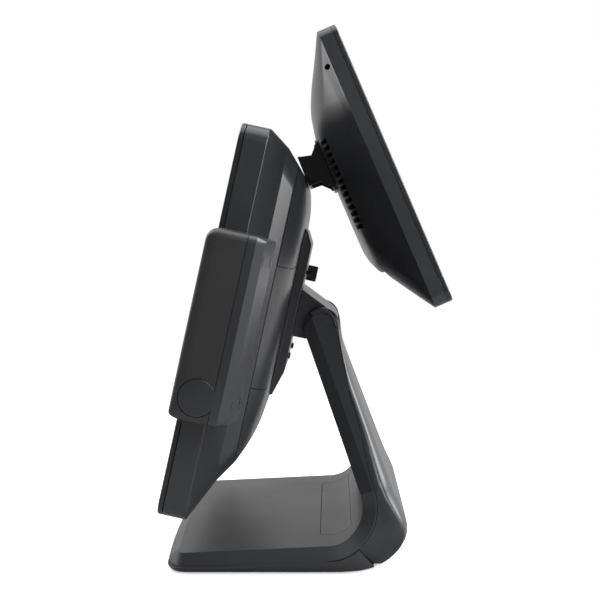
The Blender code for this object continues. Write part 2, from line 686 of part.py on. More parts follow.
def tilt_bracket(parent):
    """Steel plate in the boss with two arms that carry the hinge shaft."""
    plate = panel("tilt_bracket", -34.0, 34.0, 61.2, 64.2, 100.0, 204.0, steel(), parent, 3.0, 2)
    for side in (-1, 1):
        outline = [(63.0, 143.0)] + arc(AXIS_LOCAL, 9.5, -100.0, 100.0, 8) + [(63.0, 168.0)]
        arm = prism(f"cutter_tilt_arm_{side + 1}", outline, *sorted((side * 20.0, side * 24.0)), steel(), parent)
        boolean(plate, arm, "UNION")
    drill_x(plate, AXIS_LOCAL, -60.0, 60.0, HINGE_RADIUS + GAP, 24)
    drill_y(plate, (0.0, THUMB_HEIGHT), 58.0, 68.0, 2.4, 12)
    return plate


def hood_outline(inset, front):
    radius = HOOD_RADIUS - inset
    return [(front, 138.0 + inset)] + arc(AXIS_LOCAL, radius, -104.0, 72.0, 12) + [(front, 179.5 - inset)]


def hinge_hood(parent):
    hood = prism("hinge_hood", hood_outline(0.0, BOSS_DEPTH + GAP), -HOOD_HALF, HOOD_HALF, black_plastic(), parent)
    hollow = prism("cutter_hood_hollow", hood_outline(2.0, BOSS_DEPTH - 6.0), -HOOD_HALF + 2.2, HOOD_HALF - 2.2,
                   steel(), parent)
    boolean(hood, hollow)
    return drill_x(hood, AXIS_LOCAL, -60.0, 60.0, HINGE_RADIUS + GAP, 24)


def head_inside(parent):
    panel("touch_glass", -158.0, 158.0, 2.0 + GAP, 5.0, 34.0, 274.5, dark_glass(), parent, 2.0)
    panel("lcd_panel", -163.0, 163.0, 5.0 + GAP, 13.5, 28.0, 281.0, black_metal(), parent, 2.0)
    panel("chassis_frame", -172.0, 172.0, 14.2, 15.8, 12.0, 290.0, steel(), parent, 4.0)
    panel("main_board", -118.0, 62.0, 21.0, 22.6, 110.0, 268.0, circuit_green(), parent, 2.0)
    sink = block("heatsink", -50.0, 20.0, 23.0, 38.0, 150.0, 220.0, aluminium(), parent)
    for k in range(6):
        x = -43.0 + 11.0 * k
        cut_block(sink, x, x + 5.5, 27.0, 45.0, 140.0, 230.0)
    panel("memory_module", -108.0, -40.0, 23.0, 26.0, 112.0, 142.0, circuit_green(), parent, 1.0)
    panel("solid_state_drive", 68.0, 138.0, 18.0, 25.0, 150.0, 250.0, aluminium(), parent, 2.0)
    for side, word in ((-1, "left"), (1, "right")):
        inner, outer = sorted((side * 92.0, side * 136.0))
        panel(f"speaker_{word}", inner, outer, 17.0, 29.0, 36.0, 60.0, black_metal(), parent, 3.0)
    ports = block("port_block", -100.0, 100.0, 21.0, 46.0, 84.0, 102.0, steel(), parent)
    for k in range(7):
        x = -92.0 + 27.0 * k
        cut_block(ports, x, x + 17.0, 27.0, 40.0, 80.0, 87.6)


def power_button(parent):
    at = empty("power_button_axis", (POWER_X, POWER_DEPTH, 0.0), parent)
    flange = WALL + GAP
    stations = [(-1.5, 4.2), (-1.0, POWER_RADIUS), (flange, POWER_RADIUS), (flange, 6.4), (flange + 1.2, 6.4)]
    return turned_z("power_button", (0.0, 0.0), stations, black_plastic(), at, 20)


def thumbscrew(parent):
    at = empty("thumbscrew_axis", (0.0, BOSS_DEPTH, THUMB_HEIGHT), parent)
    face = GAP + 0.3
    return turned_y("thumbscrew", (0.0, 0.0), [(-8.5, 1.9), (face, 1.9), (face, 7.0), (9.0, 7.0), (9.8, 6.2)],
                    black_metal(), at, 24)


# ---- swipe reader -----------------------------------------------------------------------------------------
def reader_ring(depth, side=0.0, low=0.0, high=0.0, radius=4.0):
    return upright_ring(depth, READER_IN + side, READER_OUT - side, READER_LOW + low, READER_HIGH - high, radius, 3)


def slanted_ring(inset):
    """Ring on the reader's back, which runs deeper towards the head."""
    outer_edge = READER_OUT - READER_CHAMFER
    ring = upright_ring(0.0, READER_IN + inset, outer_edge - inset, READER_LOW + 2.0 + inset,
                        READER_HIGH - 2.0 - inset, 3.0, 3)
    slope = (READER_BACK_IN - READER_BACK_OUT) / (outer_edge - READER_IN)
    return [(x, READER_BACK_IN - slope * (x - READER_IN) - inset, z) for x, _, z in ring]


def reader(parent):
    outer = [reader_ring(READER_SPLIT), reader_ring(READER_FRONT + 9.0),
             reader_ring(READER_FRONT + 2.6, 0.7, 1.2, 2.6), reader_ring(READER_FRONT, 3.0, 4.0, 8.0, 2.0)]
    inner = [reader_ring(READER_SPLIT, WALL, WALL, WALL, 2.0), reader_ring(8.0, WALL, WALL, WALL, 2.0),
             reader_ring(READER_FRONT + 2.4, 4.0, 5.0, 9.0, 1.0)]
    front = cup("reader_front_shell", outer, inner, black_plastic(), parent)
    channel = block("cutter_reader_channel", CARD_SLOT_X - 3.0, CARD_SLOT_X + 3.8, READER_FRONT + 1.5,
                    CARD_SLOT_DEPTH + 2.0, READER_LOW + 1.2, READER_HIGH - 4.2, steel(), parent)
    boolean(front, channel, "UNION")
    cut_block(front, CARD_SLOT_X, CARD_SLOT_X + CARD_SLOT_WIDTH, READER_FRONT - 3.0, CARD_SLOT_DEPTH,
              READER_LOW - 5.0, READER_HIGH + 5.0)
    drill_x(front, (CAP_DEPTH_AT, CAP_HEIGHT_AT), READER_OUT - 6.0, READER_OUT + 4.0, CAP_RADIUS + GAP, 32)
    turned_x("reader_round_cap", (CAP_DEPTH_AT, CAP_HEIGHT_AT),
             [(READER_OUT - 5.0, CAP_RADIUS), (READER_OUT - 0.6, CAP_RADIUS), (READER_OUT - 0.1, CAP_RADIUS - 0.6)],
             black_plastic(), parent, 32)
    outer = [reader_ring(READER_SPLIT + GAP), reader_ring(READER_BACK_EDGE), slanted_ring(0.0)]
    inner = [reader_ring(READER_SPLIT + GAP, WALL, WALL, WALL, 2.0),
             reader_ring(READER_BACK_EDGE, WALL, WALL, WALL, 2.0), slanted_ring(WALL)]
    cup("reader_rear_shell", outer, inner, black_plastic(), parent)
    panel("reader_board", 199.0, 200.6, 8.0, 34.0, 118.0, 208.0, circuit_green(), parent, 0.5)
    block("read_head", 194.4, 198.6, 5.0, 14.0, 150.0, 162.0, aluminium(), parent)


# ---- display arm and customer display ---------------------------------------------------------------------
def arm_bracket(parent):
    """Channel seated on the upper slope of the back, with two ears round the display's pin."""
    centre = parent_local(DISPLAY_AXIS, HEAD_FRONT_BOTTOM, -HEAD_LEAN)
    root_low, root_high = Vector((54.6, 268.6)), Vector((39.4, 291.0))
    along = (root_high - root_low).normalized()
    out = Vector((along.y, -along.x))
    lift, sheet = 0.6, 2.2
    seat = [root_low + out * lift, root_low + out * (lift + sheet), root_high + out * (lift + sheet),
            root_high + out * lift]
    arm = prism("arm_bracket", [tuple(p) for p in seat], -ARM_HALF, ARM_HALF, black_metal(), parent)
    facing = atan2(out.y, out.x) * 180 / pi
    for side in (-1, 1):
        outline = [tuple(root_low + out * (lift + 0.2))] + arc(centre, EAR_RADIUS, facing - 80.0, facing + 80.0, 8)
        outline += [tuple(root_high + out * (lift + 0.2))]
        ear = prism(f"cutter_arm_ear_{side + 1}", outline, *sorted((side * (ARM_HALF - 2.4), side * ARM_HALF)),
                    steel(), parent)
        boolean(arm, ear, "UNION")
    return drill_x(arm, centre, -60.0, 60.0, DISPLAY_PIN_RADIUS + 0.1, 24)


def display_ring(depth, half, low, high, radius, inset=0.0):
    return [(x, -depth, z) for x, z in
            rounded_outline(-half + inset, half - inset, low + inset, high - inset, max(1.5, radius - inset))]


DISPLAY_BACK = ((4.0 + GAP, DISPLAY_HALF, 0.0, DISPLAY_HEIGHT, DISPLAY_CORNER),
                (15.0, DISPLAY_HALF, 0.0, DISPLAY_HEIGHT, DISPLAY_CORNER),
                (25.0, 137.0, 15.0, 217.0, 22.0),
                (36.0, 117.0, 32.0, 199.0, 30.0),
                (43.0, 98.0, 41.0, 184.0, 34.0),
                (46.0, 72.0, 54.0, 170.0, 30.0))
DISPLAY_BACK_WALLS = (0.0, 0.8, 1.6, 1.9, 2.1, 2.2)


def customer_display(parent):
    frame = empty("display_frame", (0.0, DISPLAY_FRONT_BOTTOM[0] - DISPLAY_AXIS[0],
                                    DISPLAY_FRONT_BOTTOM[1] - DISPLAY_AXIS[1]), parent, DISPLAY_LEAN)
    face = (DISPLAY_HALF, 0.0, DISPLAY_HEIGHT, DISPLAY_CORNER)
    outer = [display_ring(d, *face, inset) for d, inset in ((4.0, 0.0), (1.0, 0.0), (0.0, 1.0))]
    inner = [display_ring(d, *face, WALL) for d in (4.0, 2.0)]
    bezel = cup("display_bezel", outer, inner, black_plastic(), frame)
    window = panel("cutter_display_window", -124.0, 124.0, -6.0, 3.0, 24.0, 210.0, steel(), frame, 1.5)
    boolean(bezel, window)
    panel("display_glass", -129.0, 129.0, -4.6, -2.0 - GAP, 19.0, 215.0, dark_glass(), frame, 1.5)
    panel("display_lcd", -131.0, 131.0, -12.0, -5.0, 16.0, 218.0, black_metal(), frame, 1.5)
    panel("display_board", -60.0, 60.0, -22.0, -20.4, 70.0, 150.0, circuit_green(), frame, 1.0)
    outer = [display_ring(*row) for row in DISPLAY_BACK]
    inner = [display_ring(depth - wall, *row, WALL) for (depth, *row), wall in zip(DISPLAY_BACK, DISPLAY_BACK_WALLS)]
    housing = cup("display_rear_housing", outer, inner, black_plastic(), frame)
    display_mount(frame, housing)


def display_mount(frame, housing):
    """Plate on the display's back with two ears outside the arm's, the pin through all four, and its screws."""
    axis = parent_local(DISPLAY_AXIS, DISPLAY_FRONT_BOTTOM, DISPLAY_LEAN)
    low, high = axis[1] - KNUCKLE_REACH - 1.5, axis[1] + KNUCKLE_REACH + 1.5
    half = ARM_HALF + 3.0
    knuckle = panel("display_knuckle", -half, half, -48.6, -46.0 - GAP, low, high, black_metal(), frame, 4.0, 2)
    for side in (-1, 1):
        outline = [(-47.5, axis[1] - KNUCKLE_REACH), (-47.5, axis[1] + KNUCKLE_REACH)]
        outline += arc(axis, EAR_RADIUS, 100.0, 260.0, 8)
        inner, outer = sorted((side * (ARM_HALF + 0.5), side * half))
        ear = prism(f"cutter_knuckle_ear_{side + 1}", outline, inner, outer, steel(), frame)
        boolean(knuckle, ear, "UNION")
    drill_x(knuckle, axis, -60.0, 60.0, DISPLAY_PIN_RADIUS + GAP, 24)
    turned_x("display_hinge_pin", axis, [(-half, DISPLAY_PIN_RADIUS), (half, DISPLAY_PIN_RADIUS)], steel(), frame)
    stations = [(-51.0, 2.6), (-50.2, 3.2), (-49.0, 3.2), (-49.0, 1.6), (-41.0, 1.6)]
    places = [(x, z) for z in (low + 5.5, high - 5.5) for x in (-36.0, 36.0)]
    for k, place in enumerate(places):
        turned_y(f"knuckle_screw_{k + 1}", place, stations, black_metal(), frame, 12)
        for target in (knuckle, housing):
            drill_y(target, place, -52.0, -40.0, 1.95, 12)


# ---- assembly ---------------------------------------------------------------------------------------------
def build():
    clear_scene()
    terminal = empty("terminal", (FRAME_X, FRAME_Y, 0.0))
    stand_front_shell(terminal)
    column_rear_cover(terminal)
    base_parts(terminal)
    column_steel(terminal)
    cable_cover(terminal)

    tilt = empty("head_tilt_axis", (0.0, HINGE.x, HINGE.y), terminal)
    corner = (0.0, HEAD_FRONT_BOTTOM[0] - HINGE.x, HEAD_FRONT_BOTTOM[1] - HINGE.y)
    head = empty("head_frame", corner, tilt, -HEAD_LEAN)
    front_bezel(head)
    rear_housing(head)
    rear_cover("upper_rear_cover", COVER_SEAM_HIGH + GAP / 2, 300.0, head)
    rear_cover("middle_rear_cover", COVER_SEAM_LOW + GAP / 2, COVER_SEAM_HIGH - GAP / 2, head)
    cable_side = rear_cover("lower_rear_cover", 20.0, COVER_SEAM_LOW - GAP / 2, head)
    cut_block(cable_side, -CABLE_OUTLET_HALF, CABLE_OUTLET_HALF, 40.0, 55.0, 36.0, 62.0)
    hinge_boss_cover(head)
    tilt_bracket(head)
    hinge_hood(head)
    turned_x("hinge_shaft", AXIS_LOCAL, [(-49.8, HINGE_RADIUS), (49.8, HINGE_RADIUS)], steel(), head, 32)
    under = BOSS_DEPTH + GAP
    stations = [(BOSS_DEPTH - 6.0, 1.7), (under, 1.7), (under, 3.2), (BOSS_DEPTH + 1.6, 3.2), (BOSS_DEPTH + 2.4, 2.4)]
    for k, place in enumerate(BOSS_SCREWS):
        turned_y(f"boss_screw_{k + 1}", place, stations, black_metal(), head, 16)
    head_inside(head)
    power_button(head)
    thumbscrew(head)
    reader(head)
    arm_bracket(head)

    swing = empty("display_tilt_axis", (0.0, DISPLAY_AXIS[0] - HINGE.x, DISPLAY_AXIS[1] - HINGE.y), tilt)
    customer_display(swing)


build()
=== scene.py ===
"""Looks of a countertop point-of-sale terminal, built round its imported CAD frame.

Shapes are in millimetres in three local frames: the stand (x across, y from the operator to the customer,
z up), the head (x, depth behind the screen's face, height along the screen) and the customer display (x,
minus the depth behind its face, height along its screen).  put() turns them into the row frame.
"""
import json
from math import atan2, cos, exp, pi, radians, sin, sqrt

import bmesh
import bpy
from mathutils import Matrix, Vector


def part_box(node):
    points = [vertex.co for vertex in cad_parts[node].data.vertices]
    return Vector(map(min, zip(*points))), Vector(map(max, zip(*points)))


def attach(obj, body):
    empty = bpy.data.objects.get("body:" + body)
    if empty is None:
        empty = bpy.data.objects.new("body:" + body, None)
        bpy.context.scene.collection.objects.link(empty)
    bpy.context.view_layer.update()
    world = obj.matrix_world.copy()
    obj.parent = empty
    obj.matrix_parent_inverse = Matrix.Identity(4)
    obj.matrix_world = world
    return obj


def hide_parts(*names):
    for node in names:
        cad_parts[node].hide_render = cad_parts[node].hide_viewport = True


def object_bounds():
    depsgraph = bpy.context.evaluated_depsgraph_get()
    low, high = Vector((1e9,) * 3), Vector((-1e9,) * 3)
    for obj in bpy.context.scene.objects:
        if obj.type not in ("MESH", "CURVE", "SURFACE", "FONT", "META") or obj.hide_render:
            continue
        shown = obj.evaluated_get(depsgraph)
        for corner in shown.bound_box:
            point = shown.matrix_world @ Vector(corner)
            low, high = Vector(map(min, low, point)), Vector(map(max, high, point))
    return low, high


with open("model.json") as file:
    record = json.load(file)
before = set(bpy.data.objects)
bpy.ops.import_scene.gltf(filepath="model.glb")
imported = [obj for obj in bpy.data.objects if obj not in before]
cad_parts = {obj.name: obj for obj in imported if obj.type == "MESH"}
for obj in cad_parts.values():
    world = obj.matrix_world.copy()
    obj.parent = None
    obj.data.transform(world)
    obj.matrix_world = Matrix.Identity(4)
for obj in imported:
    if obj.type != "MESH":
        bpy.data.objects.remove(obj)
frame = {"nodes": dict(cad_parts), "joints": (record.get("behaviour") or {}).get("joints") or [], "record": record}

CAD_BOX = [list(corner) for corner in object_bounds()]
NODES = frame["nodes"]
JOINTS = {joint["name"]: joint for joint in frame["joints"]}
MM = 0.001
GAP = 0.35  # clearance between neighbouring pieces
WALL = 2.2  # moulded wall
THROUGH = 60.0  # a cutter that goes right through a piece reaches about this far

# ---- stand ----
BASE_HALF, BASE_FRONT, BASE_CORNER, BASE_BOW = 124.5, -134.0, 20.0, 4.0
BASE_TOP_POINT, BASE_TOP_SLOPE = (-60.0, 18.3), 0.047
EDGE_INSET, EDGE_DROP = 5.0, 10.4  # sloping side band of the base and the column
LIP = 0.9  # the tray's rim stands this far proud of the band above it
FRONT_TUCK, FRONT_CHAMFER, FRONT_DROP = 3.0, 8.0, 4.6  # front edge: chamfered on top, upright below
FOOT_HEIGHT = 1.2
COLUMN_POINT, COLUMN_LEAN = (16.2, 77.3), radians(20.4)
COLUMN_DEPTH, COLUMN_RISE, COLUMN_WAIST = 31.6, 115.3, 5.4
COLUMN_HALF_FOOT, COLUMN_HALF_TOP = 106.0, 48.5
SEAM_DROP, SWEEP_SEAM_DROP = EDGE_DROP + 0.5, 1.2  # the front shell's lower edge
COLUMN_SEAM = (12.1, 19.0, 26.8)  # its rear edge at the column's foot, middle and top
FILLET = 28.0
SPLIT_ANGLE = radians(-51.0)  # where the bottom tray meets the rear cover
SLOT_HALF = 45.0
CHEEK_RADIUS, CHEEK_LOW, CHEEK_STEPS = 11.0, 17.0, 18
CHEEK_STARTS = (10.0, 60.6)  # degrees round the top where its broad and its flat outline begin
CHEEK_FLARE, FLARE_END, FLARE_RUN = 4.5, radians(72.0), radians(10.0)
CABLE_HALF, CABLE_FRONT, CABLE_END = 89.0, -10.0, radians(-46.0)
ROUND_END = radians(110.0)  # the rear cover wraps this far over the column's top
COVER_WALL, COVER_EDGE = 1.6, 4.0  # the rear cover's wall, and its reach past the column's flat
FOOT_SWELL, FOOT_SWELL_AT = 10.2, radians(-22.0)  # the rear cover's swollen foot
FOOT_TUCK = 12.0  # the foot's sides close in by this much towards the tray
ROUNDING, TOP_ROUNDING, FOOT_ROUNDING = 9.6, 4.0, 3.0  # how deep the rear cover's long edges are rounded
EDGE_FADE, TOP_FADE = 28.0, 7.0  # and how wide
TRAY_EDGE = ((0.55, -GAP), (0.5, 0.4), (0.2, 0.7), (-0.2, 0.6), (-0.5, 0.1))  # tray's lip: inset, lift

# ---- head ----
HEAD_LEAN, HEAD_FRONT_BOTTOM = radians(12.3), (-131.3, 61.0)
HEAD_HALF, HEAD_HEIGHT, HEAD_CORNER = 182.0, 301.0, 14.0
BEZEL_DEPTH, SIDE_DEPTH = 3.8, 22.0
SCREEN_HALF, SCREEN_LOW, SCREEN_HIGH = 152.5, 40.0, 268.5
COVER_SEAM_LOW, COVER_SEAM_HIGH = 103.5, 200.0
OUTLET = (-70.0, 70.0, 40.0, 55.0, 36.0, 62.0)  # cable outlet in the lower cover: x, depth, height
BOSS_HALF, BOSS_DEPTH = 50.0, 68.5
BOSS_LOW, BOSS_HIGH, BOSS_FLAT_LOW, BOSS_FLAT_HIGH = 84.0, 232.0, 103.0, 220.5
HINGE_RADIUS, HOOD_HALF, HOOD_RADIUS = 5.0, 44.0, 15.0
HOOD_LOW, HOOD_HIGH = 138.0, 179.5
BUTTON_RADIUS = 5.0
THUMB_HEIGHT = 192.9
BOSS_SCREWS = ((-38.0, 120.0), (38.0, 120.0))
READER_IN, READER_OUT = 182.6, 220.0
READER_LOW, READER_HIGH, READER_FRONT, READER_SPLIT = 82.0, 221.0, -3.3, 26.0
CARD_SLOT_X, CARD_SLOT_WIDTH, CARD_SLOT_DEPTH = 190.0, 1.8, 13.0
READER_CORNER, READER_ROUNDING = 6.5, 9.0
READER_BACK_EDGE, READER_BACK_IN, READER_BACK_OUT, READER_CHAMFER = 32.7, 44.7, 38.9, 7.0
CAP_RADIUS, CAP_DEPTH_AT, CAP_HEIGHT_AT = 13.5, 14.7, 100.4

# ---- customer display ----
DISPLAY_LEAN, DISPLAY_FRONT_BOTTOM = radians(23.2), (94.2, 219.4)
DISPLAY_HALF, DISPLAY_HEIGHT, DISPLAY_CORNER = 150.0, 234.0, 10.0
DISPLAY_EDGE, DISPLAY_WINDOW = 4.0, (124.0, 24.0, 210.0)  # bezel's depth; window's half, low and high
DISPLAY_AXIS = (-15.0, 326.0)
DISPLAY_PIN_RADIUS, EAR_RADIUS, ARM_HALF, KNUCKLE_REACH = 4.0, 9.0, 43.0, 22.0
ARM_ROOT = ((54.6, 268.6), (39.4, 291.0))  # where the arm meets the head's slanted shoulder
KNUCKLE_EAR, KNUCKLE_FACE = 3.8, -46.35
VENTS, VENT_FIRST, VENT_PITCH, VENT_HIGH, VENT_X = 14, 79.0, 5.8, 3.7, (80.0, 106.0)

# ---- where the three local frames sit ----
COLUMN_UP = Vector((-sin(COLUMN_LEAN), cos(COLUMN_LEAN)))
COLUMN_BACK = Vector((cos(COLUMN_LEAN), sin(COLUMN_LEAN)))
COLUMN_AT = Vector(COLUMN_POINT)
HINGE = COLUMN_AT + COLUMN_UP * COLUMN_RISE + COLUMN_BACK * (COLUMN_DEPTH / 2)
TILT_AXIS = Vector(JOINTS["head_tilt"]["pos_m"])
STAND_AT = Matrix.Translation((TILT_AXIS.x, TILT_AXIS.y - HINGE.x * MM, TILT_AXIS.z - HINGE.y * MM))
STAND = STAND_AT @ Matrix.Scale(MM, 4)


def leaning(front_bottom, lean):
    return STAND @ Matrix.Translation((0.0, *front_bottom)) @ Matrix.Rotation(lean, 4, "X")


HEAD = leaning(HEAD_FRONT_BOTTOM, -HEAD_LEAN)
DISPLAY = leaning(DISPLAY_FRONT_BOTTOM, DISPLAY_LEAN)


def side_view(point, place):
    """Stand-frame (y, z) as (y, z) of another local frame."""
    local = place.inverted() @ STAND @ Vector((0.0, *point))
    return (local.y, local.z)


def node_middle(node, place):
    """Middle of a node's box, and half its width, in a local frame."""
    low, high = (place.inverted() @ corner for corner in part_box(node))
    return (low + high) / 2, (high.x - low.x) / 2


def configured(made, **settings):
    for key, value in settings.items():
        setattr(made, key, value)
    return made


def in_scene(name, data):
    made = bpy.data.objects.new(name, data)
    bpy.context.scene.collection.objects.link(made)
    return made


# ---- materials ----
class Tree:
    """Small helper that adds and links nodes in one shader tree."""

    def __init__(self, owner):
        owner.use_nodes = True
        self.tree = owner.node_tree

    def add(self, kind, **settings):
        return configured(self.tree.nodes.new(kind), **settings)

    def link(self, output, socket):
        self.tree.links.new(output, socket)

    def ranged(self, value, low, high, to_low, to_high, **settings):
        made = self.add("ShaderNodeMapRange", **settings)
        for name, limit in zip(("From Min", "From Max", "To Min", "To Max"), (low, high, to_low, to_high)):
            made.inputs[name].default_value = limit
        self.link(value, made.inputs["Value"])
        return made.outputs["Result"]

    def shade_mix(self, factor, first, second):
        made = self.add("ShaderNodeMixShader")
        for output, socket in zip((factor, first, second), made.inputs):
            self.link(output, socket)
        return made.outputs[0]


class Nodes(Tree):
    """The nodes of one material, round its main shader."""

    def __init__(self, name):
        self.material = bpy.data.materials.new(name)
        super().__init__(self.material)
        self.shader = self.tree.nodes["Principled BSDF"]
        self.coordinates = self.add("ShaderNodeTexCoord").outputs["Object"]

    def set(self, **values):
        """Fill the shader's sockets, each with a value or with another node's output."""
        for key, value in values.items():
            socket = self.shader.inputs[key.replace("_", " ")]
            if isinstance(value, bpy.types.NodeSocket):
                self.link(value, socket)
            else:
                socket.default_value = value

    def stretched(self, scale):
        mapping = self.add("ShaderNodeMapping")
        mapping.inputs["Scale"].default_value = scale
        self.link(self.coordinates, mapping.inputs["Vector"])
        return mapping.outputs["Vector"]

    def noise(self, scale, detail=2.0, rough=0.5, where=None):
        made = self.add("ShaderNodeTexNoise")
        made.inputs["Scale"].default_value = scale
        made.inputs["Detail"].default_value = detail
        made.inputs["Roughness"].default_value = rough
        self.link(where or self.coordinates, made.inputs["Vector"])
        return made.outputs["Fac"]

    def mixed(self, factor, first, second):
        made = self.add("ShaderNodeMix", data_type="RGBA")
        self.link(factor, made.inputs["Factor"])
        for socket, value in ((made.inputs[6], first), (made.inputs[7], second)):
            if isinstance(value, tuple):
                socket.default_value = (*value, 1.0)
            else:
                self.link(value, socket)
        return made.outputs[2]

    def bump(self, height, strength, distance, under=None):
        made = self.add("ShaderNodeBump")
        made.inputs["Strength"].default_value = strength
        made.inputs["Distance"].default_value = distance
        self.link(height, made.inputs["Height"])
        if under is not None:
            self.link(under, made.inputs["Normal"])
        return made.outputs["Normal"]


def moulded_plastic(name, colour, polish, grain=0.16):
    """Injection-moulded ABS: spark-eroded grain, uneven sheen and a faint handling haze."""
    n = Nodes(name)
    cloud = n.noise(14.0, 3.0)
    haze = n.noise(24.0, 2.0, 0.45)
    darker = tuple(c * 0.86 for c in colour)
    rubbed = tuple(c * 1.08 for c in colour)
    base = n.mixed(n.ranged(cloud, 0.35, 0.7, 0.0, 1.0), darker, colour)
    n.set(Base_Color=n.mixed(n.ranged(haze, 0.5, 0.85, 0.0, 1.0), base, rubbed))
    n.set(Roughness=n.ranged(haze, 0.3, 0.75, polish - 0.02, polish + 0.03))
    coarse = n.bump(n.noise(900.0, 2.0), grain * 0.35, 0.00008)
    n.set(Normal=n.bump(n.noise(3200.0, 3.0, 0.6), grain, 0.00006, coarse), IOR=1.5)
    return n.material


def powder_coat():
    n = Nodes("black_powder_coat")
    n.set(Base_Color=n.mixed(n.noise(20.0, 3.0), (0.012, 0.012, 0.013), (0.024, 0.024, 0.026)))
    n.set(Roughness=n.ranged(n.noise(160.0, 3.0), 0.3, 0.7, 0.34, 0.5))
    n.set(Normal=n.bump(n.noise(1500.0, 2.0), 0.25, 0.00012))
    return n.material


def brushed_metal(name, colour, roughness, along=(1.0, 60.0, 60.0)):
    n = Nodes(name)
    lines = n.noise(60.0, 4.0, 0.6, n.stretched(along))
    n.set(Base_Color=n.mixed(n.noise(8.0, 2.0), tuple(c * 0.86 for c in colour), colour))
    n.set(Roughness=n.ranged(lines, 0.3, 0.7, roughness - 0.08, roughness + 0.1))
    n.set(Normal=n.bump(lines, 0.12, 0.00005), Metallic=1.0)
    return n.material


def moulded_rubber():
    n = Nodes("black_rubber")
    n.set(Base_Color=n.mixed(n.noise(60.0, 3.0), (0.014, 0.014, 0.014), (0.03, 0.03, 0.029)))
    n.set(Roughness=n.ranged(n.noise(300.0, 3.0), 0.3, 0.7, 0.7, 0.88))
    n.set(Normal=n.bump(n.noise(2200.0, 3.0), 0.35, 0.00015))
    return n.material


def screen_glass():
    """Cover glass over a dark panel: nearly black, glossy, with faint finger haze in its gloss."""
    n = Nodes("screen_glass")
    n.set(Base_Color=n.mixed(n.noise(4.0, 2.0), (0.004, 0.0045, 0.006), (0.008, 0.009, 0.011)))
    n.set(Roughness=n.ranged(n.noise(9.0, 3.0, 0.5), 0.35, 0.75, 0.17, 0.20))
    n.set(Normal=n.bump(n.noise(3.0, 1.0), 0.02, 0.0005))
    n.set(IOR=1.45, Specular_IOR_Level=0.22)
    return n.material


def circuit_board():
    n = Nodes("green_board")
    tracks = n.add("ShaderNodeTexBrick")
    tracks.inputs["Scale"].default_value = 160.0
    n.link(n.stretched((1.0, 1.0, 2.0)), tracks.inputs["Vector"])
    n.set(Base_Color=n.mixed(tracks.outputs["Fac"], (0.008, 0.075, 0.035), (0.02, 0.16, 0.07)))
    n.set(Roughness=n.ranged(n.noise(120.0, 3.0), 0.3, 0.7, 0.28, 0.45))
    n.set(Normal=n.bump(tracks.outputs["Fac"], 0.2, 0.0001))
    return n.material


PLASTIC = moulded_plastic("housing_plastic", (0.028, 0.029, 0.032), 0.30)
STAND_PLASTIC = moulded_plastic("stand_plastic", (0.027, 0.028, 0.031), 0.34)
READER_PLASTIC = moulded_plastic("reader_plastic", (0.024, 0.024, 0.025), 0.42, 0.22)
GLOSS_PLASTIC = moulded_plastic("bezel_plastic", (0.017, 0.018, 0.020), 0.30, 0.10)
POWDER = powder_coat()
ZINC = brushed_metal("zinc_plated_steel", (0.60, 0.61, 0.62), 0.34)
RUBBER = moulded_rubber()
GLASS = screen_glass()
BOARD = circuit_board()
ALUMINIUM = brushed_metal("bare_aluminium", (0.70, 0.71, 0.73), 0.32, (60.0, 1.0, 60.0))
SLOT_LOOKS = {"black_plastic": PLASTIC, "black_metal": POWDER, "zinc_steel": ZINC, "black_rubber": RUBBER,
              "touch_glass": GLASS, "lcd_module": GLOSS_PLASTIC, "circuit_board": BOARD,
              "aluminium": ALUMINIUM}


# ---- mesh helpers ----
def put(points, place):
    return [place @ Vector(p) for p in points]


def mesh_piece(name, points, faces, place, look, sharp=32.0, wound=True):
    mesh = bpy.data.meshes.new(name)
    mesh.from_pydata(put(points, place), [], faces)
    work = bmesh.new()
    work.from_mesh(mesh)
    bmesh.ops.remove_doubles(work, verts=work.verts, dist=0.000002)
    if wound:
        bmesh.ops.recalc_face_normals(work, faces=work.faces)
    work.to_mesh(mesh)
    work.free()
    mesh.shade_smooth()
    mesh.set_sharp_from_angle(angle=radians(sharp))
    mesh.materials.append(look)
    return in_scene(name, mesh)


def bridge(faces, first, second, count):
    for i in range(count):
        j = (i + 1) % count
        faces.append((first + i, first + j, second + j, second + i))


def rings_mesh(rings, closed_ends=True, around=False):
    """Points and faces of a skin through equal rings; around joins the last ring to the first."""
    count = len(rings[0])
    points = [p for ring in rings for p in ring]
    faces = []
    for k in range(len(rings) if around else len(rings) - 1):
        bridge(faces, k * count, ((k + 1) % len(rings)) * count, count)
    if closed_ends and not around:
        faces.append(tuple(range(count)))
        faces.append(tuple((len(rings) - 1) * count + i for i in range(count)))
    return points, faces


def loft(name, rings, place, look=PLASTIC, around=False):
    points, faces = rings_mesh(rings, True, around)
    return mesh_piece(name, points, faces, place, look)


def cup(name, outer, inner, place, look=PLASTIC):
    """Moulded shell open at its first rings and closed at its last ones."""
    count = len(outer[0])
    points, faces = rings_mesh(outer, False)
    more, inside = rings_mesh(inner, False)
    start = len(points)
    points += more
    faces += [tuple(start + i for i in face) for face in inside]
    bridge(faces, 0, start, count)
    faces.append(tuple(start - count + i for i in range(count)))
    faces.append(tuple(len(points) - count + i for i in range(count)))
    return mesh_piece(name, points, faces, place, look)


def rounded_outline(x0, x1, z0, z1, radius, steps=10):
    points = []
    for cx, cz, start in ((x1 - radius, z0 + radius, -90), (x1 - radius, z1 - radius, 0),
                          (x0 + radius, z1 - radius, 90), (x0 + radius, z0 + radius, 180)):
        for k in range(steps + 1):
            angle = radians(start + 90 * k / steps)
            points.append((cx + radius * cos(angle), cz + radius * sin(angle)))
    return points


def upright_ring(depth, x0, x1, z0, z1, radius, steps=10):
    return [(x, depth, z) for x, z in rounded_outline(x0, x1, z0, z1, radius, steps)]


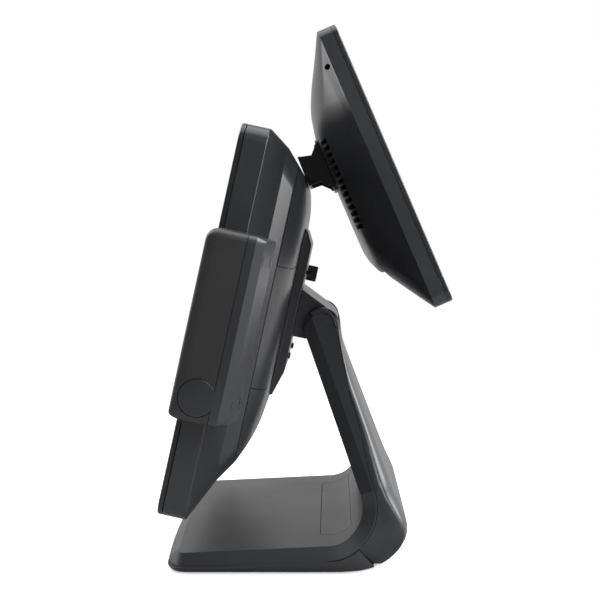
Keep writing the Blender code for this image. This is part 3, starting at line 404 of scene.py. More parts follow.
def centred_ring(depth, half, low, high, radius, inset=0.0, least=1.0):
    """Upright ring the same to the left and right, drawn in by inset all round."""
    return upright_ring(depth, -half + inset, half - inset, low + inset, high - inset,
                        max(least, radius - inset))


def block(name, x0, x1, y0, y1, z0, z1, place, look=PLASTIC):
    corners = [(x0, y0), (x1, y0), (x1, y1), (x0, y1)]
    return loft(name, [[(x, y, z) for x, y in corners] for z in (z0, z1)], place, look)


def prism(name, outline, x0, x1, place, look=PLASTIC):
    return loft(name, [[(x, y, z) for y, z in outline] for x in (x0, x1)], place, look)


def turned(name, axis, centre, stations, place, look=PLASTIC, sides=48, flutes=0, flute_depth=0.0):
    """Round solid along X, Y or Z; stations are (position, radius); flutes are ribs in the full radius."""
    widest = max(radius for _, radius in stations)
    rings = []
    for along, radius in stations:
        ring = []
        for k in range(sides):
            turn = 2 * pi * k / sides
            grip = flute_depth * (0.5 + 0.5 * cos(flutes * turn)) if flutes and radius > widest * 0.8 else 0.0
            a, b = (radius - grip) * cos(turn), (radius - grip) * sin(turn)
            a, b = centre[0] + a, centre[1] + b
            ring.append({"X": (along, a, b), "Y": (a, along, b), "Z": (a, b, along)}[axis])
        rings.append(ring)
    return loft(name, rings, place, look)


def drill(axis, centre, start, end, radius, place, sides=48):
    """Round cutter from start to end along one axis."""
    return turned("drill", axis, centre, [(start, radius), (end, radius)], place, PLASTIC, sides)


def quarter(steps):
    """Angles of a quarter turn, both ends included."""
    return [pi / 2 * k / steps for k in range(steps + 1)]


def arc(centre, radius, start, end, steps):
    angles = [radians(start + (end - start) * k / steps) for k in range(steps + 1)]
    return [(centre[0] + radius * cos(a), centre[1] + radius * sin(a)) for a in angles]


def smooth(value):
    value = min(1.0, max(0.0, value))
    return value * value * (3.0 - 2.0 * value)


def flowing(rows, steps):
    """Rows of numbers joined by a smooth curve through every row, with steps pieces between two of them."""
    made = []
    for k in range(len(rows) - 1):
        before, after = rows[max(0, k - 1)], rows[min(len(rows) - 1, k + 2)]
        here, there = rows[k], rows[k + 1]
        for i in range(steps):
            t = i / steps
            made.append(tuple(0.5 * (2 * b + (c - a) * t + (2 * a - 5 * b + 4 * c - d) * t * t
                                     + (3 * b - a - 3 * c + d) * t ** 3)
                              for a, b, c, d in zip(before, here, there, after)))
    return made + [tuple(rows[-1])]


# ---- finishing a piece ----
def modify(target, kind, **settings):
    configured(target.modifiers.new(kind.lower(), kind), **settings)
    return target


def bake(target):
    """Turn the modifiers into the mesh, so that cutters can be thrown away."""
    graph = bpy.context.evaluated_depsgraph_get()
    graph.update()
    mesh = bpy.data.meshes.new_from_object(target.evaluated_get(graph))
    target.modifiers.clear()
    target.data = mesh
    return target


def carve(target, *tools, kind="DIFFERENCE"):
    """Cut tools out of target, or join them to it, and remove them."""
    for tool in tools:
        bake(modify(target, "BOOLEAN", operation=kind, object=tool, solver="EXACT"))
        bpy.data.objects.remove(tool)
    return target


def soften(target, width=0.6, angle=30.0, segments=3):
    """Small moulded radius on every real edge, shaded smooth."""
    return modify(target, "BEVEL", width=width * MM, segments=segments, limit_method="ANGLE",
                  angle_limit=radians(angle), harden_normals=True, use_clamp_overlap=True)


def even_shading(target):
    """Shade by the large faces, so that flats between small radii stay flat."""
    return modify(target, "WEIGHTED_NORMAL", keep_sharp=True)


def thicken(target, amount):
    return bake(modify(target, "SOLIDIFY", thickness=amount * MM, offset=-1.0, use_even_offset=True))


def stand_for(piece, body, *nodes, slot="black_plastic"):
    """The piece rides a body and stands for CAD nodes, which it hides; the slot argument is not used."""
    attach(piece, body)
    if nodes:
        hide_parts(*nodes)
    return piece


# ---- the stand's ribbon ----
BASE_DOWN = Vector((BASE_TOP_SLOPE, -1.0)).normalized()


def meet(p, n, q, m):
    """Point where the line through p with normal n crosses the line through q with normal m."""
    a, b = n.dot(p), m.dot(q)
    det = n.x * m.y - n.y * m.x
    return Vector(((a * m.y - b * n.y) / det, (n.x * b - m.x * a) / det))


SWEEP = meet(Vector(BASE_TOP_POINT) - BASE_DOWN * FILLET, BASE_DOWN,
             COLUMN_AT - COLUMN_BACK * FILLET, COLUMN_BACK)
SWEEP_START, SWEEP_END = atan2(BASE_DOWN.y, BASE_DOWN.x), COLUMN_LEAN
COLUMN_START = (SWEEP + COLUMN_BACK * FILLET - COLUMN_AT).dot(COLUMN_UP)
TANGENT = (SWEEP + BASE_DOWN * FILLET).x


def base_top(y):
    return BASE_TOP_POINT[1] + (y - BASE_TOP_POINT[0]) * BASE_TOP_SLOPE


def station(place, kind):
    """Surface point, inward direction, half width of the flat, side-band offset and seam depth."""
    band = EDGE_INSET - LIP
    if kind == "base":
        return Vector((place, base_top(place))), BASE_DOWN, BASE_HALF - EDGE_INSET, band, SEAM_DROP
    if kind == "sweep":
        turn = (place - SWEEP_START) / (SWEEP_END - SWEEP_START)
        inward = Vector((cos(place), sin(place)))
        flat = BASE_HALF - EDGE_INSET
        half = flat + (COLUMN_HALF_FOOT - flat) * smooth(turn)
        return SWEEP + inward * FILLET, inward, half, band, SEAM_DROP + SWEEP_SEAM_DROP * turn
    rise = (place - COLUMN_START) / (COLUMN_RISE - COLUMN_START)
    half = COLUMN_HALF_FOOT + (COLUMN_HALF_TOP - COLUMN_HALF_FOOT) * rise
    foot, middle, top = COLUMN_SEAM
    seam = foot + (middle - foot) * smooth(rise / 0.5) + (top - middle) * smooth((rise - 0.5) / 0.5)
    return COLUMN_AT + COLUMN_UP * place, COLUMN_BACK, half, band + (LIP - 1.0) * rise, seam


def spread(start, end, steps):
    return [start + (end - start) * k / steps for k in range(steps)]


def sweep_stops():
    return [(a, "sweep") for a in spread(SPLIT_ANGLE, SWEEP_END, 18)]


def column_stops():
    return [(a, "column") for a in spread(COLUMN_START, COLUMN_RISE, 22)]


def ribbon_stations():
    stops = [(y, "base") for y in spread(BASE_FRONT + BASE_CORNER - 2.0, TANGENT, 6)]
    stops += [(a, "sweep") for a in spread(SWEEP_START, SPLIT_ANGLE, 8)]
    return stops + sweep_stops() + column_stops() + [(COLUMN_RISE, "column")]


def section(place, kind, cross):
    at, inward = station(place, kind)[:2]
    return [(x, at.x + inward.x * depth, at.y + inward.y * depth) for x, depth in cross]


def grid_faces(rows, columns):
    return [(r * columns + c, r * columns + c + 1, (r + 1) * columns + c + 1, (r + 1) * columns + c)
            for r in range(rows - 1) for c in range(columns - 1)]


def face_up(target, direction):
    total = Vector((0.0, 0.0, 0.0))
    for polygon in target.data.polygons:
        total += polygon.normal * polygon.area
    if total.dot(Vector(direction)) < 0.0:
        target.data.flip_normals()
    return target


def front_edge(inset, front_inset, steps, front_steps=12):
    """Plan of the base's front, left corner to right: x, y and the share of the front's own shape there."""
    centre_x, centre_y = BASE_HALF - BASE_CORNER, BASE_FRONT + BASE_CORNER - 2.0
    corner, front = [], []
    for k in range(steps + 1):
        share = smooth(k / steps)
        reach = BASE_CORNER - inset - (front_inset - inset) * share
        angle = radians(180 + 90 * k / steps)
        corner.append((-centre_x + reach * cos(angle), centre_y + reach * sin(angle), share))
    for k in range(1, front_steps):
        x = -centre_x + 2 * centre_x * k / front_steps
        front.append((x, centre_y - BASE_CORNER + front_inset - BASE_BOW * (1 - (x / centre_x) ** 2), 1.0))
    return corner + front + [(-x, y, share) for x, y, share in corner[::-1]]


def front_apron(points, faces):
    """Rounded front corners and bowed front edge of the base, joined to the ribbon's first row."""
    starts, count, tuck = [], 0, LIP + FRONT_TUCK
    for inset, drop, front_inset, front_drop in ((LIP, SEAM_DROP, tuck, SEAM_DROP),
                                                 (LIP, EDGE_DROP, tuck, FRONT_DROP),
                                                 (EDGE_INSET, 0.0, tuck + FRONT_CHAMFER, 0.0)):
        row = front_edge(inset, front_inset, 14)
        starts.append(len(points))
        points += [(x, y, base_top(y) - (drop + (front_drop - drop) * share)) for x, y, share in row]
        count = len(row)
    for first, second in zip(starts, starts[1:]):
        faces += [(first + i, first + i + 1, second + i + 1, second + i) for i in range(count - 1)]
    faces.append(tuple(starts[-1] + i for i in range(count)))


def cheek(side):
    """Solid round end of the column's side, beside the notch: a sloped band in front, a flat strip behind."""
    def outline(front, start, flare):
        low = HINGE - COLUMN_UP * CHEEK_LOW
        points = [low - COLUMN_BACK * front]
        for k in range(CHEEK_STEPS + 1):
            turn = radians(start + (180.0 - start) * k / CHEEK_STEPS)
            radius = CHEEK_RADIUS + flare * smooth((FLARE_END - turn) / FLARE_RUN)
            points.append(HINGE + COLUMN_UP * radius * sin(turn) - COLUMN_BACK * radius * cos(turn))
        return points + [low + COLUMN_BACK * (CHEEK_RADIUS - 0.3)]

    broad = outline(COLUMN_DEPTH / 2 - 0.1, CHEEK_STARTS[0], CHEEK_FLARE)
    flat = outline(COLUMN_DEPTH / 2 - EDGE_DROP, CHEEK_STARTS[1], 0.0)
    rings = [(SLOT_HALF - 1.0, broad), (COLUMN_HALF_TOP, broad), (COLUMN_HALF_TOP + COVER_EDGE + 0.02, flat)]
    return loft("cheek", [[(side * x, p.x, p.y) for p in row] for x, row in rings], STAND, STAND_PLASTIC)


def notch(below, front, back):
    """Cutter for the notch in the column's top, between two depths from the hinge."""
    low = HINGE - COLUMN_UP * below
    corners = [low + COLUMN_BACK * front, low + COLUMN_BACK * back]
    corners += [corner + COLUMN_UP * THROUGH for corner in corners[::-1]]
    return prism("notch", corners, -SLOT_HALF, SLOT_HALF, STAND)


def stand_front_shell():
    points, stops = [], ribbon_stations()
    for place, kind in stops:
        half, band, seam = station(place, kind)[2:]
        cross = [(-half - band, seam), (-half - band, EDGE_DROP), (-half, 0.0),
                 (half, 0.0), (half + band, EDGE_DROP), (half + band, seam)]
        if kind == "base" and place == stops[0][0]:
            points += [(x, place, base_top(place) - depth) for x, depth in cross]
        else:
            points += section(place, kind, cross)
    faces = grid_faces(len(stops), 6)
    front_apron(points, faces)
    shell = mesh_piece("stand_front_moulding", points, faces, STAND, STAND_PLASTIC, 15.0)
    thicken(face_up(shell, (0.0, -0.3, 1.0)), WALL)
    carve(shell, cheek(-1), cheek(1), kind="UNION")
    carve(shell, notch(29.0, -30.0, -4.0), cable_opening())
    stand_for(soften(shell, 0.6, 15.0), "stand", "stand_front_shell")


def cable_panel_rings(half, front, end, above, below, radius):
    """Rings along the ribbon for a panel with rounded corners, as wide as half allows at each stop."""
    stops = [(front + radius * (1 - cos(pi / 2 * k / 6)), "base") for k in range(6)]
    stops.append((front + radius, "base"))
    stops += [(SWEEP_START + (end - SWEEP_START) * k / 14, "sweep") for k in range(15)]
    rings = []
    for place, kind in stops:
        back = max(0.0, front + radius - place) if kind == "base" else 0.0
        width = half - radius + sqrt(max(0.0, radius * radius - back * back))
        rings.append(section(place, kind, [(-width, above), (width, above), (width, below), (-width, below)]))
    return rings


def cable_opening():
    return loft("opening", cable_panel_rings(CABLE_HALF, CABLE_FRONT, CABLE_END, -4.0, 8.0, 8.0), STAND)


def cable_cover():
    rings = cable_panel_rings(CABLE_HALF - GAP, CABLE_FRONT + GAP, CABLE_END - GAP / FILLET, 0.0, WALL, 7.7)
    panel = loft("cable_cover_panel", rings, STAND, STAND_PLASTIC)
    stand_for(soften(panel, 0.4, 40.0, 2), "cable_cover", "cable_cover")


def rear_reach(angle):
    """Distance from the sweep's centre to the outside of the rear cover."""
    width = radians(18.0) if angle > FOOT_SWELL_AT else radians(35.0)
    reach = FILLET + COLUMN_DEPTH + FOOT_SWELL * exp(-((angle - FOOT_SWELL_AT) / width) ** 2)
    return min(reach, (SWEEP.y - FOOT_HEIGHT) / sin(-angle)) if angle < 0.0 else reach


def rear_rows(round_steps=26):
    """Cross sections of the rear cover: place, direction, half width, tuck, seam, reach and edge rounding."""
    rows = []
    for angle, kind in sweep_stops():
        at, inward, half, band, seam = station(angle, kind)
        drop = FOOT_ROUNDING + (ROUNDING - FOOT_ROUNDING) * smooth((angle + radians(45.0)) / radians(65.0))
        tuck = FOOT_TUCK * smooth((radians(-10.0) - angle) / radians(41.0))
        waist = COLUMN_WAIST * smooth((angle + radians(25.0)) / radians(45.0))
        reach = rear_reach(angle) - FILLET - waist
        rows.append((at, inward, half + band, tuck, seam + GAP, reach, drop, EDGE_FADE))
    for rise, kind in column_stops():
        at, inward, half, band, seam = station(rise, kind)
        reach = COLUMN_DEPTH - COLUMN_WAIST * smooth((COLUMN_RISE - rise) / 30.0)
        drop = min(ROUNDING - 4.1 * smooth((rise + 20.0) / 50.0), reach - seam - GAP - 0.6)
        fade = TOP_FADE + (EDGE_FADE - TOP_FADE) * smooth((COLUMN_RISE - rise) / 45.0)
        rows.append((at, inward, half + band, 0.0, seam + GAP, reach, drop, fade))
    for k in range(round_steps + 1):
        turn = ROUND_END * k / round_steps
        outward = COLUMN_BACK * cos(turn) + COLUMN_UP * sin(turn)
        drop = TOP_ROUNDING - 2.4 * smooth(turn)
        rows.append((HINGE, outward, COLUMN_HALF_TOP + COVER_EDGE, 0.0, CHEEK_RADIUS + GAP, COLUMN_DEPTH / 2,
                     drop, TOP_FADE))
    return rows


def column_rear_cover():
    points, steps, rows = [], 9, rear_rows()
    for at, inward, half, tuck, seam, reach, drop, fade in rows:
        side = [(half, seam), (half - tuck * 0.35, seam + (reach - drop - seam) * 0.5)]
        for turn in quarter(steps):
            side.append((half - tuck - fade * (1 - cos(turn)), reach - drop + drop * sin(turn)))
        cross = [(-x, depth) for x, depth in side] + side[::-1]
        points += [(x, at.x + inward.x * depth, at.y + inward.y * depth) for x, depth in cross]
    faces = grid_faces(len(rows), 2 * (steps + 3))
    shell = mesh_piece("column_rear_moulding", points, faces, STAND, STAND_PLASTIC)
    thicken(face_up(shell, (0.0, 1.0, 0.0)), COVER_WALL)
    carve(shell, notch(22.0, -30.0, 30.0))
    stand_for(soften(shell, 0.6, 35.0), "stand", "column_rear_cover")


def seam_height(y):
    if y < TANGENT:
        return base_top(y) - SEAM_DROP
    radius = FILLET + EDGE_DROP + 1.4
    return SWEEP.y - sqrt(radius * radius - (y - SWEEP.x) ** 2)


def base_outline(inset):
    """Plan of the tray from its left rear corner round the front to the right rear corner."""
    tucks = flowing([(34.0, 12.0), (24.0, 4.5), (12.0, 1.0), (0.0, 0.0), (-50.0, 0.0)], 4)
    left = [(inset - BASE_HALF + tuck, y) for y, tuck in tucks]
    front = [(x, y) for x, y, _ in front_edge(inset, inset + FRONT_TUCK, 15)]
    return left + front + [(-x, y) for x, y in left[::-1]]


def base_tray():
    def ring(inset, height=None, lift=-GAP):
        return [(x, y, seam_height(y) + lift if height is None else height) for x, y in base_outline(inset)]

    outer = [ring(inset, None, lift) for inset, lift in TRAY_EDGE]
    outer += [ring(-0.5, FOOT_HEIGHT + 3.2), ring(0.2, FOOT_HEIGHT + 1.4), ring(2.0, FOOT_HEIGHT)]
    tray = cup("base_tray", outer, [ring(WALL), ring(WALL, FOOT_HEIGHT + WALL)], STAND, STAND_PLASTIC)
    outward = Vector((cos(SPLIT_ANGLE), sin(SPLIT_ANGLE)))
    across = Vector((-outward.y, outward.x))
    near, far = SWEEP + outward * 20.0 - across * GAP, SWEEP + outward * 90.0 - across * GAP
    past = across * THROUGH
    tools = [prism("end", [near, far, far + past, near + past], -READER_OUT, READER_OUT, STAND)]
    for k in range(1, 5):
        middle, half = node_middle(f"rubber_foot_{k}", STAND)
        tools.append(drill("Z", (middle.x, middle.y), 0.0, 2.75, half + GAP, STAND))
        middle, _ = node_middle(f"base_screw_{k}", STAND)
        tools.append(drill("Z", (middle.x, middle.y), 0.0, 4.0, 3.9, STAND, 24))
    carve(tray, *tools)
    stand_for(soften(tray, 0.5, 35.0), "stand", "base_bottom_tray")


# ---- head shells ----
def head_ring(depth, inset=0.0):
    return centred_ring(depth, HEAD_HALF, 0.0, HEAD_HEIGHT, HEAD_CORNER, inset)


def back_ring(depth, half, low, high, radius, inset=0.0):
    return centred_ring(depth, half, low, high, radius, inset, 2.0)


DOME = ((47.0 + GAP, 144.5, 40.0, 279.5, 24.0),
        (54.0, 130.0, 53.5, 268.0, 28.0),
        (58.5, 112.0, 68.0, 250.0, 30.0),
        (60.0, 90.0, 82.0, 236.0, 24.0))
SHOULDER = ((BEZEL_DEPTH + GAP, HEAD_HALF, 0.0, HEAD_HEIGHT, HEAD_CORNER),
            (SIDE_DEPTH, HEAD_HALF, 0.0, HEAD_HEIGHT, HEAD_CORNER),
            (36.0, 150.0, 23.5, 292.0, 22.0),
            (47.0, 145.0, 39.5, 280.0, 24.0))


def front_bezel():
    def window(depth, grow=0.0):
        return centred_ring(depth, SCREEN_HALF, SCREEN_LOW, SCREEN_HIGH, 1.5, -grow)

    rounding = 1.6
    edge = [head_ring(rounding * (1 - sin(t)), rounding * (1 - cos(t))) for t in quarter(5)]
    rings = [head_ring(BEZEL_DEPTH)] + edge
    rings += [window(0.0, 1.4), window(0.4, 0.5), window(1.0), window(2.0), head_ring(2.0, WALL),
              head_ring(BEZEL_DEPTH, WALL)]
    bezel = loft("screen_bezel", rings, HEAD, GLOSS_PLASTIC, around=True)
    stand_for(even_shading(bezel), "head", "front_bezel")


def rear_housing():
    outer = [back_ring(*row) for row in SHOULDER]
    lifts, walls = (0.0, -0.8, -2.0, 0.0), (WALL, WALL, WALL + 0.4, WALL + 0.4)
    inner = [back_ring(row[0] + lift, *row[1:], wall) for row, lift, wall in zip(SHOULDER, lifts, walls)]
    shell = loft("head_side_housing", outer + inner[::-1], HEAD, around=True)
    middle, _ = node_middle("power_button", HEAD)
    carve(shell, drill("Z", (middle.x, middle.y), -4.0, 8.0, BUTTON_RADIUS + GAP, HEAD))
    stand_for(soften(shell, 0.9, 22.0), "head", "rear_housing")


def seam_curve(height, sag, rise):
    """Seam across the swollen back: it dips by sag on each flank and lifts by rise towards the middle."""
    points = []
    for k in range(-24, 25):
        x = 160.0 * k / 24
        flank = exp(-((abs(x) - 118.0) / 22.0) ** 2)
        points.append((x, height - sag * flank + rise * smooth((112.0 - abs(x)) / 40.0)))
    return points


def rear_cover(name, node, body, low, high, opening=None):
    """One of the three covers, cut from the whole swollen back between two curved seams."""
    rows = flowing(DOME, 7)
    outer = [back_ring(*row) for row in rows]
    inner = [back_ring(row[0] - 1.9 * min(1.0, k / 4), *row[1:], WALL) for k, row in enumerate(rows)]
    cover = cup(name, outer, inner, HEAD)
    keep = loft("keep", [[(x, depth, z) for x, z in low + high[::-1]] for depth in (40.0, 70.0)], HEAD)
    carve(cover, keep, kind="INTERSECT")
    if opening:
        carve(cover, block("outlet", *opening, HEAD))
    stand_for(soften(cover, 0.45, 38.0), body, node)


def rear_covers():
    def shifted(curve, lift):
        return [(x, z + lift) for x, z in curve]

    low_seam, high_seam = seam_curve(COVER_SEAM_LOW, 4.0, 7.0), seam_curve(COVER_SEAM_HIGH, 1.5, 0.5)
    half = GAP * 0.8
    top, bottom = [(x, 300.0) for x, _ in low_seam], [(x, 20.0) for x, _ in low_seam]
    rear_cover("upper_back_cover", "upper_rear_cover", "head", shifted(high_seam, half), top)
    rear_cover("middle_back_cover", "middle_rear_cover", "head", shifted(low_seam, half),
               shifted(high_seam, -half))
    rear_cover("lower_back_cover", "lower_rear_cover", "lower_cover", bottom, shifted(low_seam, -half),
               OUTLET)


def hinge_boss():
    def ring(depth, low, high, inset=0.0, radius=4.0):
        return upright_ring(depth, -BOSS_HALF + inset, BOSS_HALF - inset, low + inset, high - inset,
                            radius, 6)

    root, past = DOME[-1][0], 75.0
    outer = [ring(root + GAP, BOSS_LOW, BOSS_HIGH), ring(root + 2.6, BOSS_LOW + 1.0, BOSS_HIGH - 2.0),
             ring(BOSS_DEPTH - 0.8, BOSS_FLAT_LOW, BOSS_FLAT_HIGH),
             ring(BOSS_DEPTH - 0.2, BOSS_FLAT_LOW + 0.6, BOSS_FLAT_HIGH - 0.9, 0.4),
             ring(BOSS_DEPTH, BOSS_FLAT_LOW + 1.0, BOSS_FLAT_HIGH - 1.5, 1.0)]
    inner = [ring(root + GAP, BOSS_LOW, BOSS_HIGH, 2.0, 2.0),
             ring(root + 2.0, BOSS_LOW + 2.0, BOSS_HIGH - 3.0, 2.0, 2.0),
             ring(BOSS_DEPTH - 2.2, BOSS_FLAT_LOW, BOSS_FLAT_HIGH - 0.5, 2.0, 2.0)]
    boss = cup("hinge_boss_moulding", outer, inner, HEAD)
    tools = [block("window", -30.0, 30.0, root, past, 139.0, 171.0, HEAD),
             drill("Y", (0.0, THUMB_HEIGHT), root, past, 2.6, HEAD, 24)]
    tools += [drill("Y", place, root, past, 2.1, HEAD, 24) for place in BOSS_SCREWS]
    carve(boss, *tools)
    stand_for(soften(boss, 0.7, 24.0), "head", "hinge_boss_cover")


def hinge_hood():
    centre = side_view(HINGE, HEAD)

    def outline(inset, front):
        radius = HOOD_RADIUS - inset
        return ([(front, HOOD_LOW + inset)] + arc(centre, radius, -104.0, 72.0, 32)
                + [(front, HOOD_HIGH - inset)])

    hood = prism("hinge_hood_moulding", outline(0.0, BOSS_DEPTH + GAP), -HOOD_HALF, HOOD_HALF, HEAD)
    tools = [prism("hollow", outline(2.0, BOSS_DEPTH - 6.0), -HOOD_HALF + WALL, HOOD_HALF - WALL, HEAD),
             drill("X", centre, -THROUGH, THROUGH, HINGE_RADIUS + GAP, HEAD)]
    for side in (-1, 1):
        across = sorted((side * HOOD_HALF, side * (HOOD_HALF - 0.5)))
        line = prism("line", outline(2.6, BOSS_DEPTH - 6.0), *across, HEAD)
        tools.append(carve(line, prism("core", outline(3.2, BOSS_DEPTH - 8.0), *across, HEAD)))
    carve(hood, *tools)
    stand_for(soften(hood, 0.8, 35.0), "head", "hinge_hood")


# ---- swipe reader ----
def reader_ring(depth, side=0.0, low=0.0, high=0.0, radius=READER_CORNER):
    return upright_ring(depth, READER_IN + side, READER_OUT - side, READER_LOW + low, READER_HIGH - high,
                        radius, 6)


def slanted_ring(inset, lift):
    """Ring on the reader's slanted back: deeper beside the head, with a wide chamfer on the outer side."""
    x1 = READER_OUT - READER_CHAMFER
    ring = upright_ring(0.0, READER_IN + inset, x1 - inset, READER_LOW + 2.0 + inset,
                        READER_HIGH - 2.0 - inset, 3.0, 6)
    slope = (READER_BACK_IN - READER_BACK_OUT) / (x1 - READER_IN)
    return [(x, READER_BACK_IN - slope * (x - READER_IN) - lift, z) for x, _, z in ring]


def reader_front():
    outer = [reader_ring(READER_SPLIT)]
    for turn in quarter(8):
        away = 1 - cos(turn)
        outer.append(reader_ring(READER_FRONT + READER_ROUNDING * (1 - sin(turn)), 3.0 * away, 4.0 * away,
                                 8.0 * away, READER_CORNER - 3.5 * away))
    inner = [reader_ring(READER_SPLIT, WALL, WALL, WALL, 2.0), reader_ring(8.0, WALL, WALL, WALL, 2.0),
             reader_ring(READER_FRONT + 2.4, 4.0, 5.0, 9.0, 1.0)]
    front = cup("reader_front", outer, inner, HEAD, READER_PLASTIC)
    channel = block("channel", CARD_SLOT_X - 3.0, CARD_SLOT_X + 3.8, READER_FRONT + 1.5,
                    CARD_SLOT_DEPTH + 2.0, READER_LOW + 1.2, READER_HIGH - 4.2, HEAD)
    carve(front, channel, kind="UNION")
    slot = block("slot", CARD_SLOT_X, CARD_SLOT_X + CARD_SLOT_WIDTH, READER_FRONT - 3.0, CARD_SLOT_DEPTH,
                 READER_LOW - 5.0, READER_HIGH + 5.0, HEAD)
    seat = drill("X", (CAP_DEPTH_AT, CAP_HEIGHT_AT), READER_OUT - 6.0, READER_OUT + 4.0, CAP_RADIUS + GAP,
                 HEAD, 64)
    rim = CAP_HEIGHT_AT + CAP_RADIUS
    tick = block("tick", READER_OUT - 0.6, READER_OUT + 1.0, CAP_DEPTH_AT - 0.3, CAP_DEPTH_AT + 0.3,
                 rim - 1.0, rim + 2.4, HEAD)
    carve(front, slot, seat, tick)
    stand_for(soften(front, 0.45, 30.0), "head", "reader_front_shell")



def reader_cap():
    edge = ((5.0, 0.0), (0.7, 0.0), (0.35, 0.15), (0.15, 0.5), (0.1, 1.2))      # below the face, off the rim
    stations = [(READER_OUT - sunk, CAP_RADIUS - less) for sunk, less in edge]
    cap = turned("reader_cap", "X", (CAP_DEPTH_AT, CAP_HEIGHT_AT), stations, HEAD, PLASTIC, 64)
    stand_for(cap, "head", "reader_round_cap")


def reader_rear():
    front, wall = READER_SPLIT + GAP, (WALL, WALL, WALL, 2.0)
    outer = [reader_ring(front), reader_ring(READER_BACK_EDGE), slanted_ring(0.0, 0.0)]
    inner = [reader_ring(front, *wall), reader_ring(READER_BACK_EDGE, *wall), slanted_ring(WALL, WALL)]
    rear = cup("reader_rear", outer, inner, HEAD)
    tools = []
    for low in (READER_LOW + 12.0, READER_HIGH - 22.0):
        for x in (READER_IN + 5.0, READER_OUT - READER_CHAMFER - 4.0):
            tools.append(block("snap", x, x + 1.6, 36.0, 50.0, low, low + 8.0, HEAD))
    carve(rear, *tools)
    stand_for(soften(rear, 0.8, 24.0), "head", "reader_rear_shell")


# ---- fasteners and small parts ----
def pan_screw(node, body, place, centre, seat, outward, radius=3.2):
    """Domed screw with a cross recess; seat is where its head sits along local Y, outward is +1 or -1."""
    height = radius * 0.62
    tip = seat - outward * 6.0
    dome = [(seat + outward * height * sin(t), radius * (0.45 + 0.55 * cos(t))) for t in quarter(5)]
    stations = [(tip, radius * 0.5), (seat, radius * 0.5), (seat, radius)] + dome[1:]
    screw = turned(node.replace("screw", "screw_head"), "Y", centre, stations, place, POWDER, 32)
    arm, width = radius * 0.52, radius * 0.11
    ends = sorted((seat + outward * height * 0.35, seat + outward * (height + 1.0)))
    for half_x, half_z in ((arm, width), (width, arm)):
        carve(screw, block("cross", centre[0] - half_x, centre[0] + half_x, *ends,
                           centre[1] - half_z, centre[1] + half_z, place))
    stand_for(screw, body, node, slot="black_metal")


def small_parts():
    for k, centre in enumerate(BOSS_SCREWS, 1):
        pan_screw(f"boss_screw_{k}", "head", HEAD, centre, BOSS_DEPTH + GAP, 1)
    axis = side_view(DISPLAY_AXIS, DISPLAY)
    low, high = axis[1] - KNUCKLE_REACH + 4.0, axis[1] + KNUCKLE_REACH - 4.0
    for k, centre in enumerate([(x, z) for z in (low, high) for x in (-36.0, 36.0)], 1):
        pan_screw(f"knuckle_screw_{k}", "display", DISPLAY, centre, -49.0, -1)
    face = GAP + 0.3
    stations = [(-8.5, 1.9), (face, 1.9), (face, 6.4), (face + 0.5, 7.0), (8.9, 7.0), (9.5, 6.6), (9.8, 5.6),
                (9.3, 5.0), (9.3, 0.4)]
    stations = [(BOSS_DEPTH + y, radius) for y, radius in stations]
    knob = turned("thumbscrew_knob", "Y", (0.0, THUMB_HEIGHT), stations, HEAD, POWDER, 216, 24, 0.55)
    stand_for(knob, "thumbscrew", "thumbscrew", slot="black_metal")
    for k in range(1, 5):
        middle, radius = node_middle(f"rubber_foot_{k}", STAND)
        sole = ((2.4, 0.0), (0.7, 0.0), (0.2, 0.3), (0.0, 0.8), (0.0, 2.2), (0.5, 2.5), (0.5, 3.3),
                (0.0, 3.6))
        stations = [(height, radius - less) for height, less in sole] + [(0.0, 0.5)]
        foot = turned(f"foot_pad_{k}", "Z", (middle.x, middle.y), stations, STAND, RUBBER)
        stand_for(foot, "stand", f"rubber_foot_{k}", slot="black_rubber")


# ---- display arm and customer display ----
def arm_bracket():
    centre = side_view(DISPLAY_AXIS, HEAD)
    root_low, root_high = (Vector(point) for point in ARM_ROOT)
    along = (root_high - root_low).normalized()
    out = Vector((along.y, -along.x))
    facing = atan2(out.y, out.x) * 180 / pi
    seat = [root_low + out * 0.6, root_low + out * 2.8, root_high + out * 2.8, root_high + out * 0.6]
    arm = prism("display_arm", [tuple(p) for p in seat], -ARM_HALF, ARM_HALF, HEAD, POWDER)
    ears = []
    low_corner, high_corner = (side_view((DISPLAY_AXIS[0] + y, DISPLAY_AXIS[1] + z), HEAD)
                               for y, z in ((10.3, -8.6), (0.6, 13.6)))
    for side in (-1, 1):
        outline = [tuple(root_low + out * 0.8), low_corner]
        outline += arc(centre, EAR_RADIUS, facing - 30.0, facing + 20.0, 12)
        outline += [high_corner, tuple(root_high + out * 0.8)]
        ears.append(prism("ear", outline, *sorted((side * (ARM_HALF - 2.4), side * ARM_HALF)), HEAD))
    carve(arm, *ears, kind="UNION")
    carve(arm, drill("X", centre, -THROUGH, THROUGH, DISPLAY_PIN_RADIUS + 0.1, HEAD))
    stand_for(soften(arm, 0.5, 35.0), "head", "arm_bracket", slot="black_metal")


